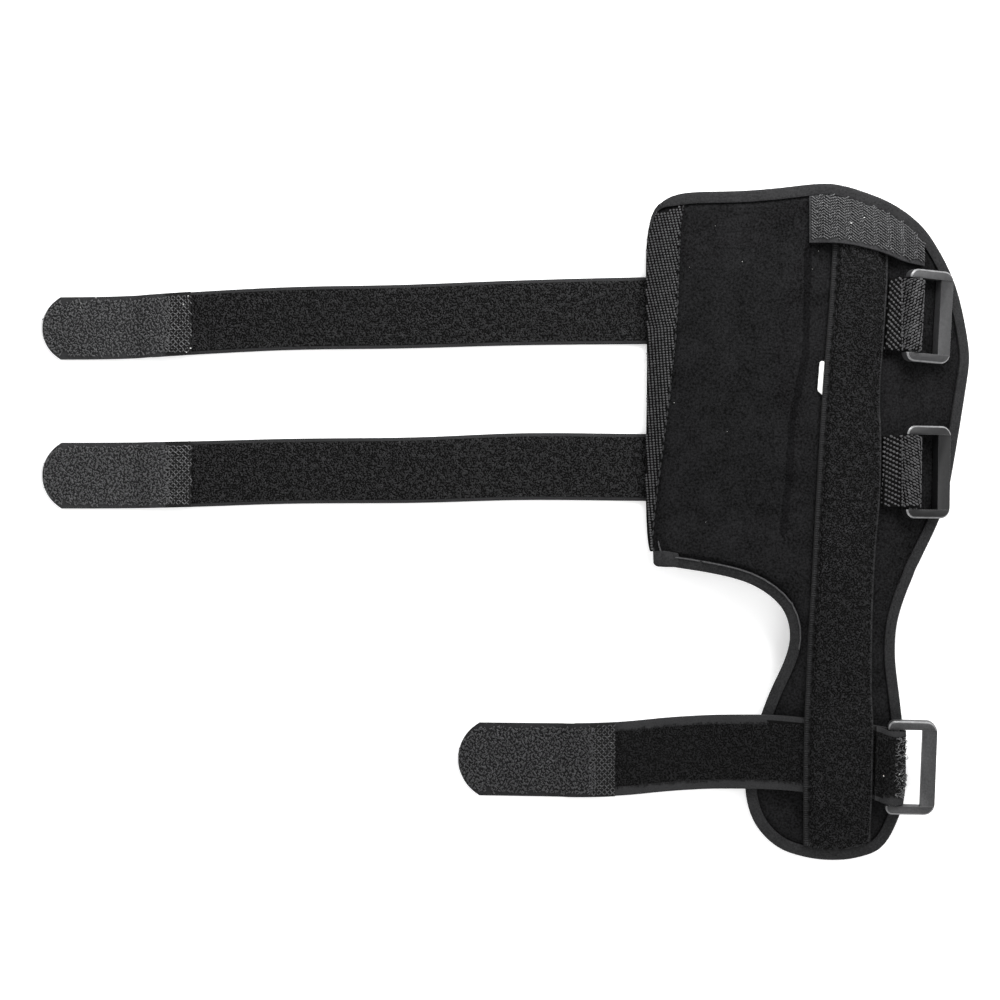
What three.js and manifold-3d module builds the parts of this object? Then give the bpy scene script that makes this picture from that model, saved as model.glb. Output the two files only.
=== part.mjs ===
// Thumb spica splint, laid face up with its straps drawn out to the left.
// Millimetres, +Z up, resting on Z = 0. While it is worked out, X is counted from the middle of the
// thumb tip and Y from the top edge of the panel, and the finished group is centred at the end.

import * as THREE from 'three';
import { mergeVertices } from 'three/addons/utils/BufferGeometryUtils.js';
import Module from 'manifold-3d';

// Panel: the padded laminate that covers the wrist and the thumb
const PANEL_LENGTH = 229.1;
const WRIST_LEFT = 65;
const WRIST_RIGHT = 45.6;
const PAD_LEFT = 31.4;
const PAD_RIGHT = 23.6;
const PANEL_THICKNESS = 3.2;
const PRESSED_THICKNESS = 1.4;
const PRESSED_SLOPE = 1.3;
const CREST_HEIGHT = 17.5;
const CLEARANCE = 0.3;

// Edge binding and the woven tape along the left edge
const BINDING_WIDTH = 4.1;
const BINDING_THICKNESS = 0.8;
const BINDING_CUT_END = 9.5;
const TAPE_WIDTH = 11.4;
const TAPE_THICKNESS = 0.8;

// Stay pocket down the middle, and the hook patch that closes it
const POCKET_WIDTH = 22.6;
const POCKET_THICKNESS = 3;
const SELVAGE_WIDTH = 2;
const SELVAGE_THICKNESS = 1.1;
const POCKET_START = 10;
const POCKET_LEAN = 7.8;
const FLAP_LENGTH = 38.5;
const FLAP_WIDTH = 16;
const FLAP_THICKNESS = 1.3;

// Straps and their hook ends
const STRAP_WIDTH = 22.8;
const STRAP_LENGTH = 153.9;
const STRAP_THICKNESS = 1.9;
const STRAP_TUCK = 18;
const THUMB_STRAP_WIDTH = 25;
const THUMB_STRAP_REACH = 75.1;
const THUMB_STRAP_THICKNESS = 1.9;
const THUMB_STRAP_DROP = 18;
const TAB_LENGTH = 50.7;
const THUMB_TAB_LENGTH = 53.3;
const TAB_THICKNESS = 1.5;
const TAB_OVERLAP = 13.6;
const TAB_RAMP = 5;
const TAB_ROUNDNESS = 0.57;

// Rings and the webbing that holds the two wrist rings
const WEBBING_WIDTH = 24;
const WEBBING_THICKNESS = 1.2;
const WEBBING_TUCK = 3;
const RING_BAR_RADIUS = 1.8;
const RING_REACH = 14.2;
const RING_THICKNESS = 4;
const RING_SIDE = 2.9;
const RING_SIDE_CLEARANCE = 0.6;
const RING_OUTER_BAR = 4.8;
const RING_STEP = 0.6;
const RING_CORNER = 3.2;
const RING_BEVEL = 0.5;

// Blank woven tab at the pocket's left edge
const LABEL_WIDTH = 2.5;
const LABEL_LENGTH = 11.5;
const LABEL_THICKNESS = 0.5;

// Outline of the wrist part, from the top edge down: pairs of points at the left and right edge.
// down and farDown are shares of the panel's length, left of WRIST_LEFT and right of WRIST_RIGHT.
const WRIST_OUTLINE = [
  { down: 0.0, left: 0.13, farDown: 0.0, right: -0.055 },
  { down: 0.006, left: 0.314, farDown: 0.005, right: 0.07 },
  { down: 0.01, left: 0.518, farDown: 0.014, right: 0.206 },
  { down: 0.0102, left: 0.723, farDown: 0.024, right: 0.34 },
  { down: 0.0137, left: 0.845, farDown: 0.041, right: 0.495 },
  { down: 0.027, left: 0.931, farDown: 0.064, right: 0.636 },
  { down: 0.05, left: 0.975, farDown: 0.09, right: 0.733 },
  { down: 0.084, left: 0.995, farDown: 0.122, right: 0.828 },
  { down: 0.13, left: 1.0, farDown: 0.164, right: 0.916 },
  { down: 0.235, left: 0.995, farDown: 0.243, right: 1.0 },
  { down: 0.29, left: 0.995, farDown: 0.29, right: 0.98 },
  { down: 0.407, left: 1.0, farDown: 0.404, right: 0.88 },
  { down: 0.466, left: 1.0, farDown: 0.463, right: 0.819 },
  { down: 0.51, left: 0.995, farDown: 0.5, right: 0.745 },
  { down: 0.536, left: 0.985, farDown: 0.525, right: 0.683 },
  { down: 0.5535, left: 0.958, farDown: 0.543, right: 0.636 },
  { down: 0.5637, left: 0.9, farDown: 0.556, right: 0.604 },
  { down: 0.568, left: 0.8, farDown: 0.568, right: 0.572 },
  { down: 0.577, left: 0.62, farDown: 0.58, right: 0.55 },
  { down: 0.588, left: 0.48, farDown: 0.594, right: 0.52 },
];

// Outline of the neck and the thumb pad: left is a share of PAD_LEFT and right of PAD_RIGHT.
const THUMB_OUTLINE = [
  { down: 0.605, left: 0.771, farDown: 0.611, right: 0.943 },
  { down: 0.627, left: 0.611, farDown: 0.631, right: 0.881 },
  { down: 0.655, left: 0.541, farDown: 0.655, right: 0.833 },
  { down: 0.684, left: 0.554, farDown: 0.687, right: 0.819 },
  { down: 0.717, left: 0.643, farDown: 0.717, right: 0.841 },
  { down: 0.759, left: 0.78, farDown: 0.759, right: 0.899 },
  { down: 0.844, left: 0.975, farDown: 0.844, right: 0.996 },
  { down: 0.886, left: 1.0, farDown: 0.886, right: 1.0 },
  { down: 0.916, left: 0.971, farDown: 0.916, right: 0.965 },
  { down: 0.943, left: 0.898, farDown: 0.943, right: 0.87 },
  { down: 0.968, left: 0.755, farDown: 0.969, right: 0.745 },
  { down: 0.988, left: 0.538, farDown: 0.989, right: 0.54 },
  { down: 0.9995, left: 0.19, farDown: 1.0, right: 0.12 },
];

// The arch over the hand: crest is a share of CREST_HEIGHT, and left and right say how high the
// underside lies at each side above what it rests on, in shares of the same height.
// thumb is 0 where the sides are those of the wrist part and 1 where they are those of the pad.
const ARCH = [
  { down: 0.0, crest: 0.9, thumb: 0, left: 0, right: 0 },
  { down: 0.24, crest: 1.0, thumb: 0, left: 0, right: 0 },
  { down: 0.48, crest: 1.0, thumb: 0, left: 0, right: 0 },
  { down: 0.58, crest: 0.98, thumb: 0, left: 0, right: 0.05 },
  { down: 0.67, crest: 0.92, thumb: 1, left: 0.1, right: 0.4 },
  { down: 0.77, crest: 0.74, thumb: 1, left: 0.14, right: 0.3 },
  { down: 0.86, crest: 0.54, thumb: 1, left: 0.1, right: 0.17 },
  { down: 0.94, crest: 0.36, thumb: 1, left: 0.05, right: 0.06 },
  { down: 1.0, crest: 0.24, thumb: 1, left: 0.02, right: 0.02 },
];

// The pocket's middle line and its width: lean is a share of POCKET_LEAN, width of POCKET_WIDTH.
const POCKET_LINE = [
  { down: 0.0, lean: 1.0, width: 0.82 },
  { down: 0.15, lean: 0.77, width: 0.82 },
  { down: 0.29, lean: 0.48, width: 0.84 },
  { down: 0.43, lean: 0.34, width: 0.92 },
  { down: 0.63, lean: 0.04, width: 0.92 },
  { down: 0.84, lean: -0.03, width: 1.0 },
  { down: 1.0, lean: 0.0, width: 1.0 },
];

// Inner bound of the woven tape: width is a share of TAPE_WIDTH.
const TAPE_BOUND = [
  { down: 0.045, width: 1.0 },
  { down: 0.1, width: 1.04 },
  { down: 0.19, width: 0.97 },
  { down: 0.3, width: 0.75 },
  { down: 0.42, width: 0.48 },
  { down: 0.53, width: 0.16 },
];

// Lower edge of the pocket flap: across is a share of FLAP_LENGTH and drop of FLAP_WIDTH, counted
// from the flap's lower left corner.
const FLAP_EDGE = [
  { across: 0.0, drop: 0.0 },
  { across: 0.3, drop: 0.04 },
  { across: 0.55, drop: 0.17 },
  { across: 0.8, drop: 0.38 },
  { across: 1.0, drop: 0.48 },
];

// How each strap lies: reach is a share of its length, sway and width are shares of its width.
const UPPER_LAY = [
  { reach: -0.2, sway: 0.0, width: 1.0 },
  { reach: 0.0, sway: 0.0, width: 1.0 },
  { reach: 0.27, sway: -0.03, width: 0.97 },
  { reach: 0.54, sway: -0.09, width: 0.95 },
  { reach: 0.78, sway: -0.115, width: 0.94 },
  { reach: 1.0, sway: -0.19, width: 0.935 },
  { reach: 1.16, sway: -0.255, width: 0.933 },
  { reach: 1.4, sway: -0.265, width: 0.924 },
];
const LOWER_LAY = [
  { reach: -0.2, sway: 0.0, width: 1.0 },
  { reach: 0.0, sway: 0.0, width: 1.0 },
  { reach: 0.27, sway: 0.015, width: 1.0 },
  { reach: 0.5, sway: -0.04, width: 0.98 },
  { reach: 0.78, sway: -0.055, width: 0.97 },
  { reach: 1.0, sway: -0.1, width: 0.98 },
  { reach: 1.16, sway: -0.12, width: 0.982 },
  { reach: 1.4, sway: -0.12, width: 0.982 },
];
const THUMB_LAY = [
  { reach: -0.3, sway: 0.0, width: 1.0 },
  { reach: 0.1, sway: 0.06, width: 1.0 },
  { reach: 0.4, sway: 0.17, width: 1.0 },
  { reach: 0.62, sway: 0.155, width: 1.0 },
  { reach: 0.8, sway: 0.12, width: 1.0 },
  { reach: 0.95, sway: 0.065, width: 1.0 },
  { reach: 1.1, sway: 0.04, width: 1.0 },
  { reach: 1.4, sway: 0.05, width: 0.99 },
  { reach: 1.7, sway: 0.065, width: 0.99 },
];
const UPPER_STRAP_DOWN = 0.1845;
const LOWER_STRAP_DOWN = 0.417;

// Where the webbing turns back over a ring bar and comes down on itself: back and fall are shares
// of the way from the top of the bar to the place where it lies flat again. From there it runs on
// to the edge of the stay pocket.
const WEBBING_RETURN = [
  { back: 0.34, fall: 0.3 },
  { back: 0.6, fall: 0.68 },
  { back: 0.85, fall: 0.94 },
  { back: 1.2, fall: 1.0 },
];
const RETURN_MARGIN = 0.7;
const RETURN_LENGTH = 3.4;
const WRAP_STEP = 30;
const WRAP_END = 120;

// The rings: down is a share of the panel's length, tail is the length of webbing that shows
// between the pocket's edge and the bar, lean turns the bar, in degrees, and heel is how far the
// side bars run on behind the bar.
const RINGS = [
  { name: 'upper', down: 0.195, tail: 9, lean: 3.6, heel: 3.1 },
  { name: 'lower', down: 0.424, tail: 9.9, lean: 0.7, heel: 3.1 },
  { name: 'thumb', down: 0.855, tail: 6.6, lean: 0, heel: 2.3 },
];

const wasm = await Module();
wasm.setup();

const smoothstep = THREE.MathUtils.smoothstep;
const lerp = THREE.MathUtils.lerp;
const degToRad = THREE.MathUtils.degToRad;

// Smooth reading of one column of a table whose rows rise in another column
function read(table, by, column, at) {
  const last = table.length - 1;
  const place = Math.min(Math.max(at, table[0][by]), table[last][by]);
  const after = table.findIndex((row) => row[by] >= place);
  const i = Math.max(0, after - 1);
  const j = Math.min(last, i + 1);
  const span = table[j][by] - table[i][by];
  const share = span > 0 ? (place - table[i][by]) / span : 0;
  const slope = (k) => {
    const a = table[Math.max(0, k - 1)];
    const b = table[Math.min(last, k + 1)];
    return (b[column] - a[column]) / (b[by] - a[by]);
  };
  const square = share * share;
  const cube = square * share;
  return (
    (2 * cube - 3 * square + 1) * table[i][column] +
    (cube - 2 * square + share) * span * slope(i) +
    (3 * square - 2 * cube) * table[j][column] +
    (cube - square) * span * slope(j)
  );
}

const pocketMiddle = (down) => POCKET_LEAN * read(POCKET_LINE, 'down', 'lean', down);
const pocketHalf = (down) => 0.5 * POCKET_WIDTH * read(POCKET_LINE, 'down', 'width', down);

// The arch as rows of crest height and of how fast the surface falls away to each side. The left
// edge lies on the straps, and the whole is set down so that its lowest point touches the surface.
const LEFT_REST = STRAP_THICKNESS + CLEARANCE + PANEL_THICKNESS;
const RIGHT_REST = BINDING_THICKNESS + PANEL_THICKNESS;
let settle = 0;
let archRows = [];
function setDown(lift) {
  settle = lift;
  archRows = ARCH.map((row) => {
    const middle = pocketMiddle(row.down);
    const crest = row.crest * CREST_HEIGHT;
    const leftReach = lerp(WRIST_LEFT, PAD_LEFT, row.thumb) + middle;
    const rightReach = lerp(WRIST_RIGHT, PAD_RIGHT, row.thumb) - middle;
    const leftRest = row.thumb ? PANEL_THICKNESS : LEFT_REST - lift;
    const leftFall = crest - leftRest - row.left * CREST_HEIGHT;
    const rightFall = crest - RIGHT_REST - row.right * CREST_HEIGHT;
    return {
      down: row.down,
      crest,
      left: leftFall / leftReach ** 2,
      right: rightFall / rightReach ** 2,
    };
  });
}
setDown(0);

function topHeight(x, y) {
  const down = -y / PANEL_LENGTH;
  const aside = x - pocketMiddle(down);
  const bend = read(archRows, 'down', aside < 0 ? 'left' : 'right', down);
  return settle + read(archRows, 'down', 'crest', down) - bend * aside * aside;
}

function surfaceNormal(x, y) {
  const step = 0.5;
  const slopeX = (topHeight(x + step, y) - topHeight(x - step, y)) / (2 * step);
  const slopeY = (topHeight(x, y + step) - topHeight(x, y - step)) / (2 * step);
  return new THREE.Vector3(-slopeX, -slopeY, 1).normalize();
}

// A point at a distance above the panel's full upper surface, measured square to it
function layer(x, y, above) {
  return new THREE.Vector3(x, y, topHeight(x, y)).addScaledVector(surfaceNormal(x, y), above);
}

// Height of the panel's full underside straight below a point
function underside(x, y) {
  return topHeight(x, y) - PANEL_THICKNESS / surfaceNormal(x, y).z;
}

// Closed solid from points and triangles, turned so that its faces point outwards
function solid(points, faces) {
  let volume = 0;
  for (let i = 0; i < faces.length; i += 3) {
    const [a, b, c] = [points[faces[i]], points[faces[i + 1]], points[faces[i + 2]]];
    volume += a.dot(b.clone().cross(c));
  }
  const index = volume < 0 ? faces.slice().reverse() : faces;
  const geometry = new THREE.BufferGeometry();
  geometry.setAttribute('position', new THREE.Float32BufferAttribute(points.flatMap((p) => p.toArray()), 3));
  geometry.setIndex(index);
  return geometry;
}

// Solid between two grids of points, such as the upper and lower face of a strap
function slab(upper, lower) {
  const rows = upper.length;
  const columns = upper[0].length;
  const faces = [];
  const at = (side, i, j) => side * rows * columns + i * columns + j;
  const quad = (a, b, c, d) => faces.push(a, b, c, a, c, d);
  for (let i = 0; i < rows - 1; i += 1) {
    for (let j = 0; j < columns - 1; j += 1) {
      quad(at(0, i, j), at(0, i + 1, j), at(0, i + 1, j + 1), at(0, i, j + 1));
      quad(at(1, i, j), at(1, i, j + 1), at(1, i + 1, j + 1), at(1, i + 1, j));
    }
    quad(at(0, i, 0), at(1, i, 0), at(1, i + 1, 0), at(0, i + 1, 0));
    const edge = columns - 1;
    quad(at(0, i + 1, edge), at(1, i + 1, edge), at(1, i, edge), at(0, i, edge));
  }
  for (let j = 0; j < columns - 1; j += 1) {
    const end = rows - 1;
    quad(at(0, 0, j + 1), at(1, 0, j + 1), at(1, 0, j), at(0, 0, j));
    quad(at(0, end, j), at(1, end, j), at(1, end, j + 1), at(0, end, j + 1));
  }
  return solid([...upper.flat(), ...lower.flat()], faces);
}

// Finished outline, tape and binding included, as pairs of plan points at the left and right edge
const OUTLINE_ROWS = [
  ...WRIST_OUTLINE.map((row) => ({ ...row, left: row.left * WRIST_LEFT, right: row.right * WRIST_RIGHT })),
  ...THUMB_OUTLINE.map((row) => ({ ...row, left: row.left * PAD_LEFT, right: row.right * PAD_RIGHT })),
].map((row, i) => ({ ...row, row: i }));
const SAMPLES_PER_ROW = 2;
const PAIRS = (OUTLINE_ROWS.length - 1) * SAMPLES_PER_ROW + 1;
const outlinePair = (row) => {
  const value = (column) => read(OUTLINE_ROWS, 'row', column, row);
  return [
    new THREE.Vector2(-value('left'), -PANEL_LENGTH * value('down')),
    new THREE.Vector2(value('right'), -PANEL_LENGTH * value('farDown')),
  ];
};
const pairs = Array.from({ length: PAIRS }, (_, i) => outlinePair(i / SAMPLES_PER_ROW));
const outline = [...pairs.map((pair) => pair[0]), ...pairs.map((pair) => pair[1]).reverse()];
const COUNT = outline.length;

// Direction into the panel, square to the outline, at each of its points
const inward = outline.map((_, i) => {
  const before = outline[(i + COUNT - 1) % COUNT];
  const after = outline[(i + 1) % COUNT];
  const along = after.clone().sub(before).normalize();
  return new THREE.Vector2(-along.y, along.x);
});

const insetPoint = (i, inset) => outline[i].clone().addScaledVector(inward[i], inset);

// Distance from a plan point to the finished outline
function distanceToOutline(x, y) {
  const point = new THREE.Vector2(x, y);
  let least = Infinity;
  outline.forEach((a, i) => {
    const along = outline[(i + 1) % COUNT].clone().sub(a);
    const share = Math.min(Math.max(point.clone().sub(a).dot(along) / along.lengthSq(), 0), 1);
    least = Math.min(least, a.clone().addScaledVector(along, share).distanceTo(point));
  });
  return least;
}

// The plan point on a line of constant X where the outline is a given distance away
function stepIn(x, yInside, yOutside, inset) {
  let near = yInside;
  let far = yOutside;
  for (let i = 0; i < 30; i += 1) {
    const middle = 0.5 * (near + far);
    if (distanceToOutline(x, middle) > inset) near = middle;
    else far = middle;
  }
  return near;
}

// The laminate is pressed thin where the binding holds it, and has its full height further in
const PRESSED_DEPTH = 0.5 * (PANEL_THICKNESS - PRESSED_THICKNESS);
const EDGE_INSET = BINDING_THICKNESS + CLEARANCE;
const PRESSED_INSET = BINDING_WIDTH + CLEARANCE;
const FULL_INSET = PRESSED_INSET + PRESSED_SLOPE;
const pressed = (inset) =>
  -PRESSED_DEPTH * (1 - Math.min(Math.max((inset - PRESSED_INSET) / PRESSED_SLOPE, 0), 1));
const onPanel = (x, y, above) => layer(x, y, pressed(distanceToOutline(x, y) + 1) + above);

function panelGeometry() {
  const columns = 8;
  const points = [];
  const faces = [];
  const triangle = (a, b, c) => faces.push(a, b, c);
  const quad = (a, b, c, d) => faces.push(a, b, c, a, c, d);
  const loop = (inset, above) =>
    outline.map((_, i) => {
      const place = insetPoint(i, inset);
      return points.push(layer(place.x, place.y, above)) - 1;
    });
  const band = (outer, inner) =>
    outer.forEach((a, i) => {
      const next = (i + 1) % COUNT;
      quad(a, outer[next], inner[next], inner[i]);
    });
  const middleOf = (rim, above, band2) => {
    const rows = [];
    for (let i = 1; i < PAIRS - 1; i += 1) {
      const left = insetPoint(i, FULL_INSET);
      const right = insetPoint(COUNT - 1 - i, FULL_INSET);
      const row = [rim[i]];
      for (let j = 1; j < columns; j += 1) {
        const place = left.clone().lerp(right, j / columns);
        row.push(points.push(layer(place.x, place.y, above)) - 1);
      }
      row.push(rim[COUNT - 1 - i]);
      rows.push(row);
    }
    rows.slice(1).forEach((row, i) => {
      for (let j = 0; j < columns; j += 1) band2(rows[i][j], row[j], row[j + 1], rows[i][j + 1]);
    });
    return rows;
  };
  const fan = (a, b, row, flip) => {
    const half = Math.floor(columns / 2);
    const add = flip ? (p, q, r) => triangle(r, q, p) : triangle;
    for (let j = 0; j < half; j += 1) add(a, row[j], row[j + 1]);
    add(a, row[half], b);
    for (let j = half; j < columns; j += 1) add(b, row[j], row[j + 1]);
  };
  const upperEdge = loop(EDGE_INSET, -PRESSED_DEPTH);
  const upperPressed = loop(PRESSED_INSET, -PRESSED_DEPTH);
  const upperRim = loop(FULL_INSET, 0);
  const lowerEdge = loop(EDGE_INSET, PRESSED_DEPTH - PANEL_THICKNESS);
  const lowerPressed = loop(PRESSED_INSET, PRESSED_DEPTH - PANEL_THICKNESS);
  const lowerRim = loop(FULL_INSET, -PANEL_THICKNESS);
  band(upperEdge, upperPressed);
  band(upperPressed, upperRim);
  band(lowerRim, lowerPressed);
  band(lowerPressed, lowerEdge);
  band(lowerEdge, upperEdge);
  const upper = middleOf(upperRim, 0, quad);
  const lower = middleOf(lowerRim, -PANEL_THICKNESS, (a, b, c, d) => quad(d, c, b, a));
  fan(upperRim[0], upperRim[COUNT - 1], upper[0], false);
  fan(lowerRim[0], lowerRim[COUNT - 1], lower[0], true);
  fan(upperRim[PAIRS - 1], upperRim[PAIRS], upper[upper.length - 1], true);
  fan(lowerRim[PAIRS - 1], lowerRim[PAIRS], lower[lower.length - 1], false);
  return solid(points, faces);
}

// Section of the folded binding, from the end of its upper arm round the edge to its lower arm
const BINDING_TOP = CLEARANCE + BINDING_THICKNESS - PRESSED_DEPTH;
const BINDING_BOTTOM = PRESSED_DEPTH - PANEL_THICKNESS - CLEARANCE - BINDING_THICKNESS;
function bindingSection(width) {
  const round = BINDING_THICKNESS;
  const middle = 0.5 * (BINDING_TOP + BINDING_BOTTOM);
  const shoulder = 0.3 * (BINDING_TOP - middle);
  const arm = Math.max(width, 1.6 * round);
  const inner = Math.min(BINDING_THICKNESS + 0.1, 0.9 * arm);
  return {
    outer: [
      [arm, BINDING_TOP],
      [round, BINDING_TOP],
      [0.12 * round, BINDING_TOP - shoulder],
      [0.12 * round, BINDING_BOTTOM + shoulder],
      [round, BINDING_BOTTOM],
      [arm, BINDING_BOTTOM],
    ],
    inner: [
      [arm, BINDING_TOP - BINDING_THICKNESS],
      [inner + 0.1, BINDING_TOP - BINDING_THICKNESS],
      [inner, BINDING_TOP - BINDING_THICKNESS - 0.15],
      [inner, BINDING_BOTTOM + BINDING_THICKNESS + 0.15],
      [inner + 0.1, BINDING_BOTTOM + BINDING_THICKNESS],
      [arm, BINDING_BOTTOM + BINDING_THICKNESS],
    ],
  };
}

// The binding starts at the top left corner, where it runs out over the edge, and goes by the top,
// the right side, the tip and the notch to a square cut end at the lower left corner. The woven
// tape fills the left edge between its ends. All four places are rows of the outline's tables.
const EDGE_RUNS = { bindingStart: 5.5, bindingEnd: 16.5, tapeStart: 5.85, tapeEnd: 14.2, tapeSteps: 18 };
const BINDING_FADE = 9;
function bindingGeometry() {
  const first = EDGE_RUNS.bindingStart * SAMPLES_PER_ROW;
  const last = EDGE_RUNS.bindingEnd * SAMPLES_PER_ROW;
  const order = [];
  for (let i = first; i >= 0; i -= 1) order.push(i);
  for (let i = COUNT - 1; i >= last; i -= 1) order.push(i);
  let run = 0;
  const outer = [];
  const inner = [];
  order.forEach((at, n) => {
    if (n > 0) run += outline[at].distanceTo(outline[order[n - 1]]);
    const width = lerp(0.3, 1, smoothstep(run, 0, BINDING_FADE)) * BINDING_WIDTH;
    const section = bindingSection(width);
    const put = ([inset, above]) => {
      const place = insetPoint(at, inset);
      return layer(place.x, place.y, above);
    };
    outer.push(section.outer.map(put));
    inner.push(section.inner.map(put));
  });
  const along = new THREE.Vector2(inward[last].y, -inward[last].x).multiplyScalar(BINDING_CUT_END);
  const section = bindingSection(BINDING_WIDTH);
  const putEnd = ([inset, above]) => {
    const place = insetPoint(last, inset).add(along);
    return layer(place.x, place.y, above);
  };
  outer.push(section.outer.map(putEnd));
  inner.push(section.inner.map(putEnd));
  return slab(outer, inner);
}

// Woven tape on the left edge: it lies on the panel and is folded down over the edge
const TAPE_TOP_RISE = 3.4;
function tapeGeometry() {
  const outer = [];
  const inner = [];
  for (let i = 0; i <= EDGE_RUNS.tapeSteps; i += 1) {
    const row = lerp(EDGE_RUNS.tapeStart, EDGE_RUNS.tapeEnd, i / EDGE_RUNS.tapeSteps);
    const edge = outlinePair(row)[0];
    const down = -edge.y / PANEL_LENGTH;
    const width = TAPE_WIDTH * read(TAPE_BOUND, 'down', 'width', down);
    const rise = TAPE_TOP_RISE * (1 - smoothstep(i, 0, 4));
    const insets = [width, 0.5 * (width + FULL_INSET), FULL_INSET, PRESSED_INSET, EDGE_INSET + 0.3];
    const limits = [1, 0.86, 0.7, 0.54, 0.38];
    const lying = insets.map((inset, n) => Math.min(inset, limits[n] * width));
    const put = (inset, above) => onPanel(edge.x + inset, edge.y + (rise * inset) / width, above);
    const side = (inset, above) => layer(edge.x + inset, edge.y, above);
    const top = CLEARANCE + TAPE_THICKNESS;
    outer.push([
      ...lying.map((inset) => put(inset, top)),
      side(0.2, BINDING_TOP - 0.5 * TAPE_THICKNESS),
      side(0, BINDING_TOP - TAPE_THICKNESS - CLEARANCE),
      side(0, BINDING_BOTTOM + BINDING_THICKNESS),
    ]);
    inner.push([
      ...lying.map((inset) => put(inset, CLEARANCE)),
      side(TAPE_THICKNESS + 0.15, CLEARANCE - PRESSED_DEPTH - 0.1),
      side(TAPE_THICKNESS, -PRESSED_DEPTH),
      side(TAPE_THICKNESS, BINDING_BOTTOM + BINDING_THICKNESS),
    ]);
  }
  return slab(outer, inner);
}

// Frame of a ring bar: its centre, the way out to the right, the bar's own direction and up
function barFrame(ring, thickness) {
  const y = -ring.down * PANEL_LENGTH;
  const foot = pocketMiddle(ring.down) + pocketHalf(ring.down) + ring.tail;
  const lean = degToRad(ring.lean);
  const up = surfaceNormal(foot, y);
  const plan = new THREE.Vector3(Math.sin(lean), Math.cos(lean), 0);
  const out = plan.clone().cross(up).normalize();
  const bar = up.clone().cross(out).normalize();
  const height = CLEARANCE + thickness + CLEARANCE + RING_BAR_RADIUS;
  return { foot, y, lean, up, out, bar, height, thickness, centre: layer(foot, y, height) };
}

// Middle line of a ribbon that comes along the panel, wraps the bar and comes down on itself:
// pairs of the distance out from the bar and the height above the panel
function wrapPath(thickness, tail, returnEnd) {
  const low = CLEARANCE + 0.5 * thickness;
  const radius = RING_BAR_RADIUS + CLEARANCE + 0.5 * thickness;
  const centre = low + radius;
  const path = [...tail.map((a) => [a, low])];
  for (let angle = -90; angle <= WRAP_END; angle += WRAP_STEP) {
    const turn = degToRad(angle);
    path.push([radius * Math.cos(turn), centre + radius * Math.sin(turn)]);
  }
  const [topOut, topHigh] = path[path.length - 1];
  const flat = low + thickness + CLEARANCE;
  WEBBING_RETURN.forEach((step) => {
    path.push([topOut - step.back * RETURN_LENGTH, lerp(topHigh, flat, step.fall)]);
  });
  path.push([returnEnd, flat]);
  return path;
}

// Ribbon along a wrap path: rigid round the bar and lying on its ground further back
function ribbonGeometry(frame, path, width, ground) {
  const across = 4;
  const upper = [];
  const lower = [];
  path.forEach((point, i) => {
    const before = path[Math.max(0, i - 1)];
    const after = path[Math.min(path.length - 1, i + 1)];
    const run = new THREE.Vector2(after[0] - before[0], after[1] - before[1]).normalize();
    const put = (side, v) => {
      const out = point[0] - side * run.y * 0.5 * frame.thickness;
      const above = point[1] + side * run.x * 0.5 * frame.thickness;
      const rigid = frame.centre
        .clone()
        .addScaledVector(frame.out, out)
        .addScaledVector(frame.bar, v)
        .addScaledVector(frame.up, above - frame.height);
      const lying = ground(out, v, above);
      return lying.lerp(rigid, smoothstep(out, -6, -1.5));
    };
    const columns = Array.from({ length: across + 1 }, (_, j) => (j / across - 0.5) * width(point[0]));
    upper.push(columns.map((v) => put(1, v)));
    lower.push(columns.map((v) => put(-1, v)));
  });
  return slab(upper, lower);
}

// Webbing of a wrist ring: its tail goes in under the pocket's edge
function ringLoopGeometry(ring) {
  const frame = barFrame(ring, WEBBING_THICKNESS);
  const start = -ring.tail - WEBBING_TUCK;
  const tail = [0, 0.25, 0.5, 0.75].map((share) => lerp(start, -1, share));
  const ground = (out, v, above) => {
    const x = frame.foot + out * Math.cos(frame.lean) + v * Math.sin(frame.lean);
    const y = frame.y - out * Math.sin(frame.lean) + v * Math.cos(frame.lean);
    return layer(x, y, above);
  };
  const path = wrapPath(WEBBING_THICKNESS, tail, RETURN_MARGIN - ring.tail);
  return ribbonGeometry(frame, path, () => WEBBING_WIDTH, ground);
}

// Thumb strap: over the pad, down to the surface on the left and on to its hook end
const thumbRing = RINGS[2];
const thumbFoot = pocketMiddle(thumbRing.down) + pocketHalf(thumbRing.down) + thumbRing.tail;
const THUMB_STRAP_LENGTH = THUMB_STRAP_REACH + thumbFoot;
const thumbPlan = (out, v) => {
  const reach = -out / THUMB_STRAP_LENGTH;
  const sway = THUMB_STRAP_WIDTH * read(THUMB_LAY, 'reach', 'sway', reach);
  return new THREE.Vector2(thumbFoot + out, -thumbRing.down * PANEL_LENGTH + sway + v);
};
const thumbWidth = (out) =>
  THUMB_STRAP_WIDTH * read(THUMB_LAY, 'reach', 'width', -out / THUMB_STRAP_LENGTH);
function thumbGround(out, v, above) {
  const place = thumbPlan(out, v);
  const lying = layer(place.x, place.y, above + 0.5 * CLEARANCE);
  const landed = new THREE.Vector3(place.x, place.y, above - CLEARANCE);
  const share = smoothstep(-place.x, PAD_LEFT + 1, PAD_LEFT + 1 + THUMB_STRAP_DROP);
  const result = lying.lerp(landed, share);
  result.z = Math.max(result.z, landed.z);
  return result;
}

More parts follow.
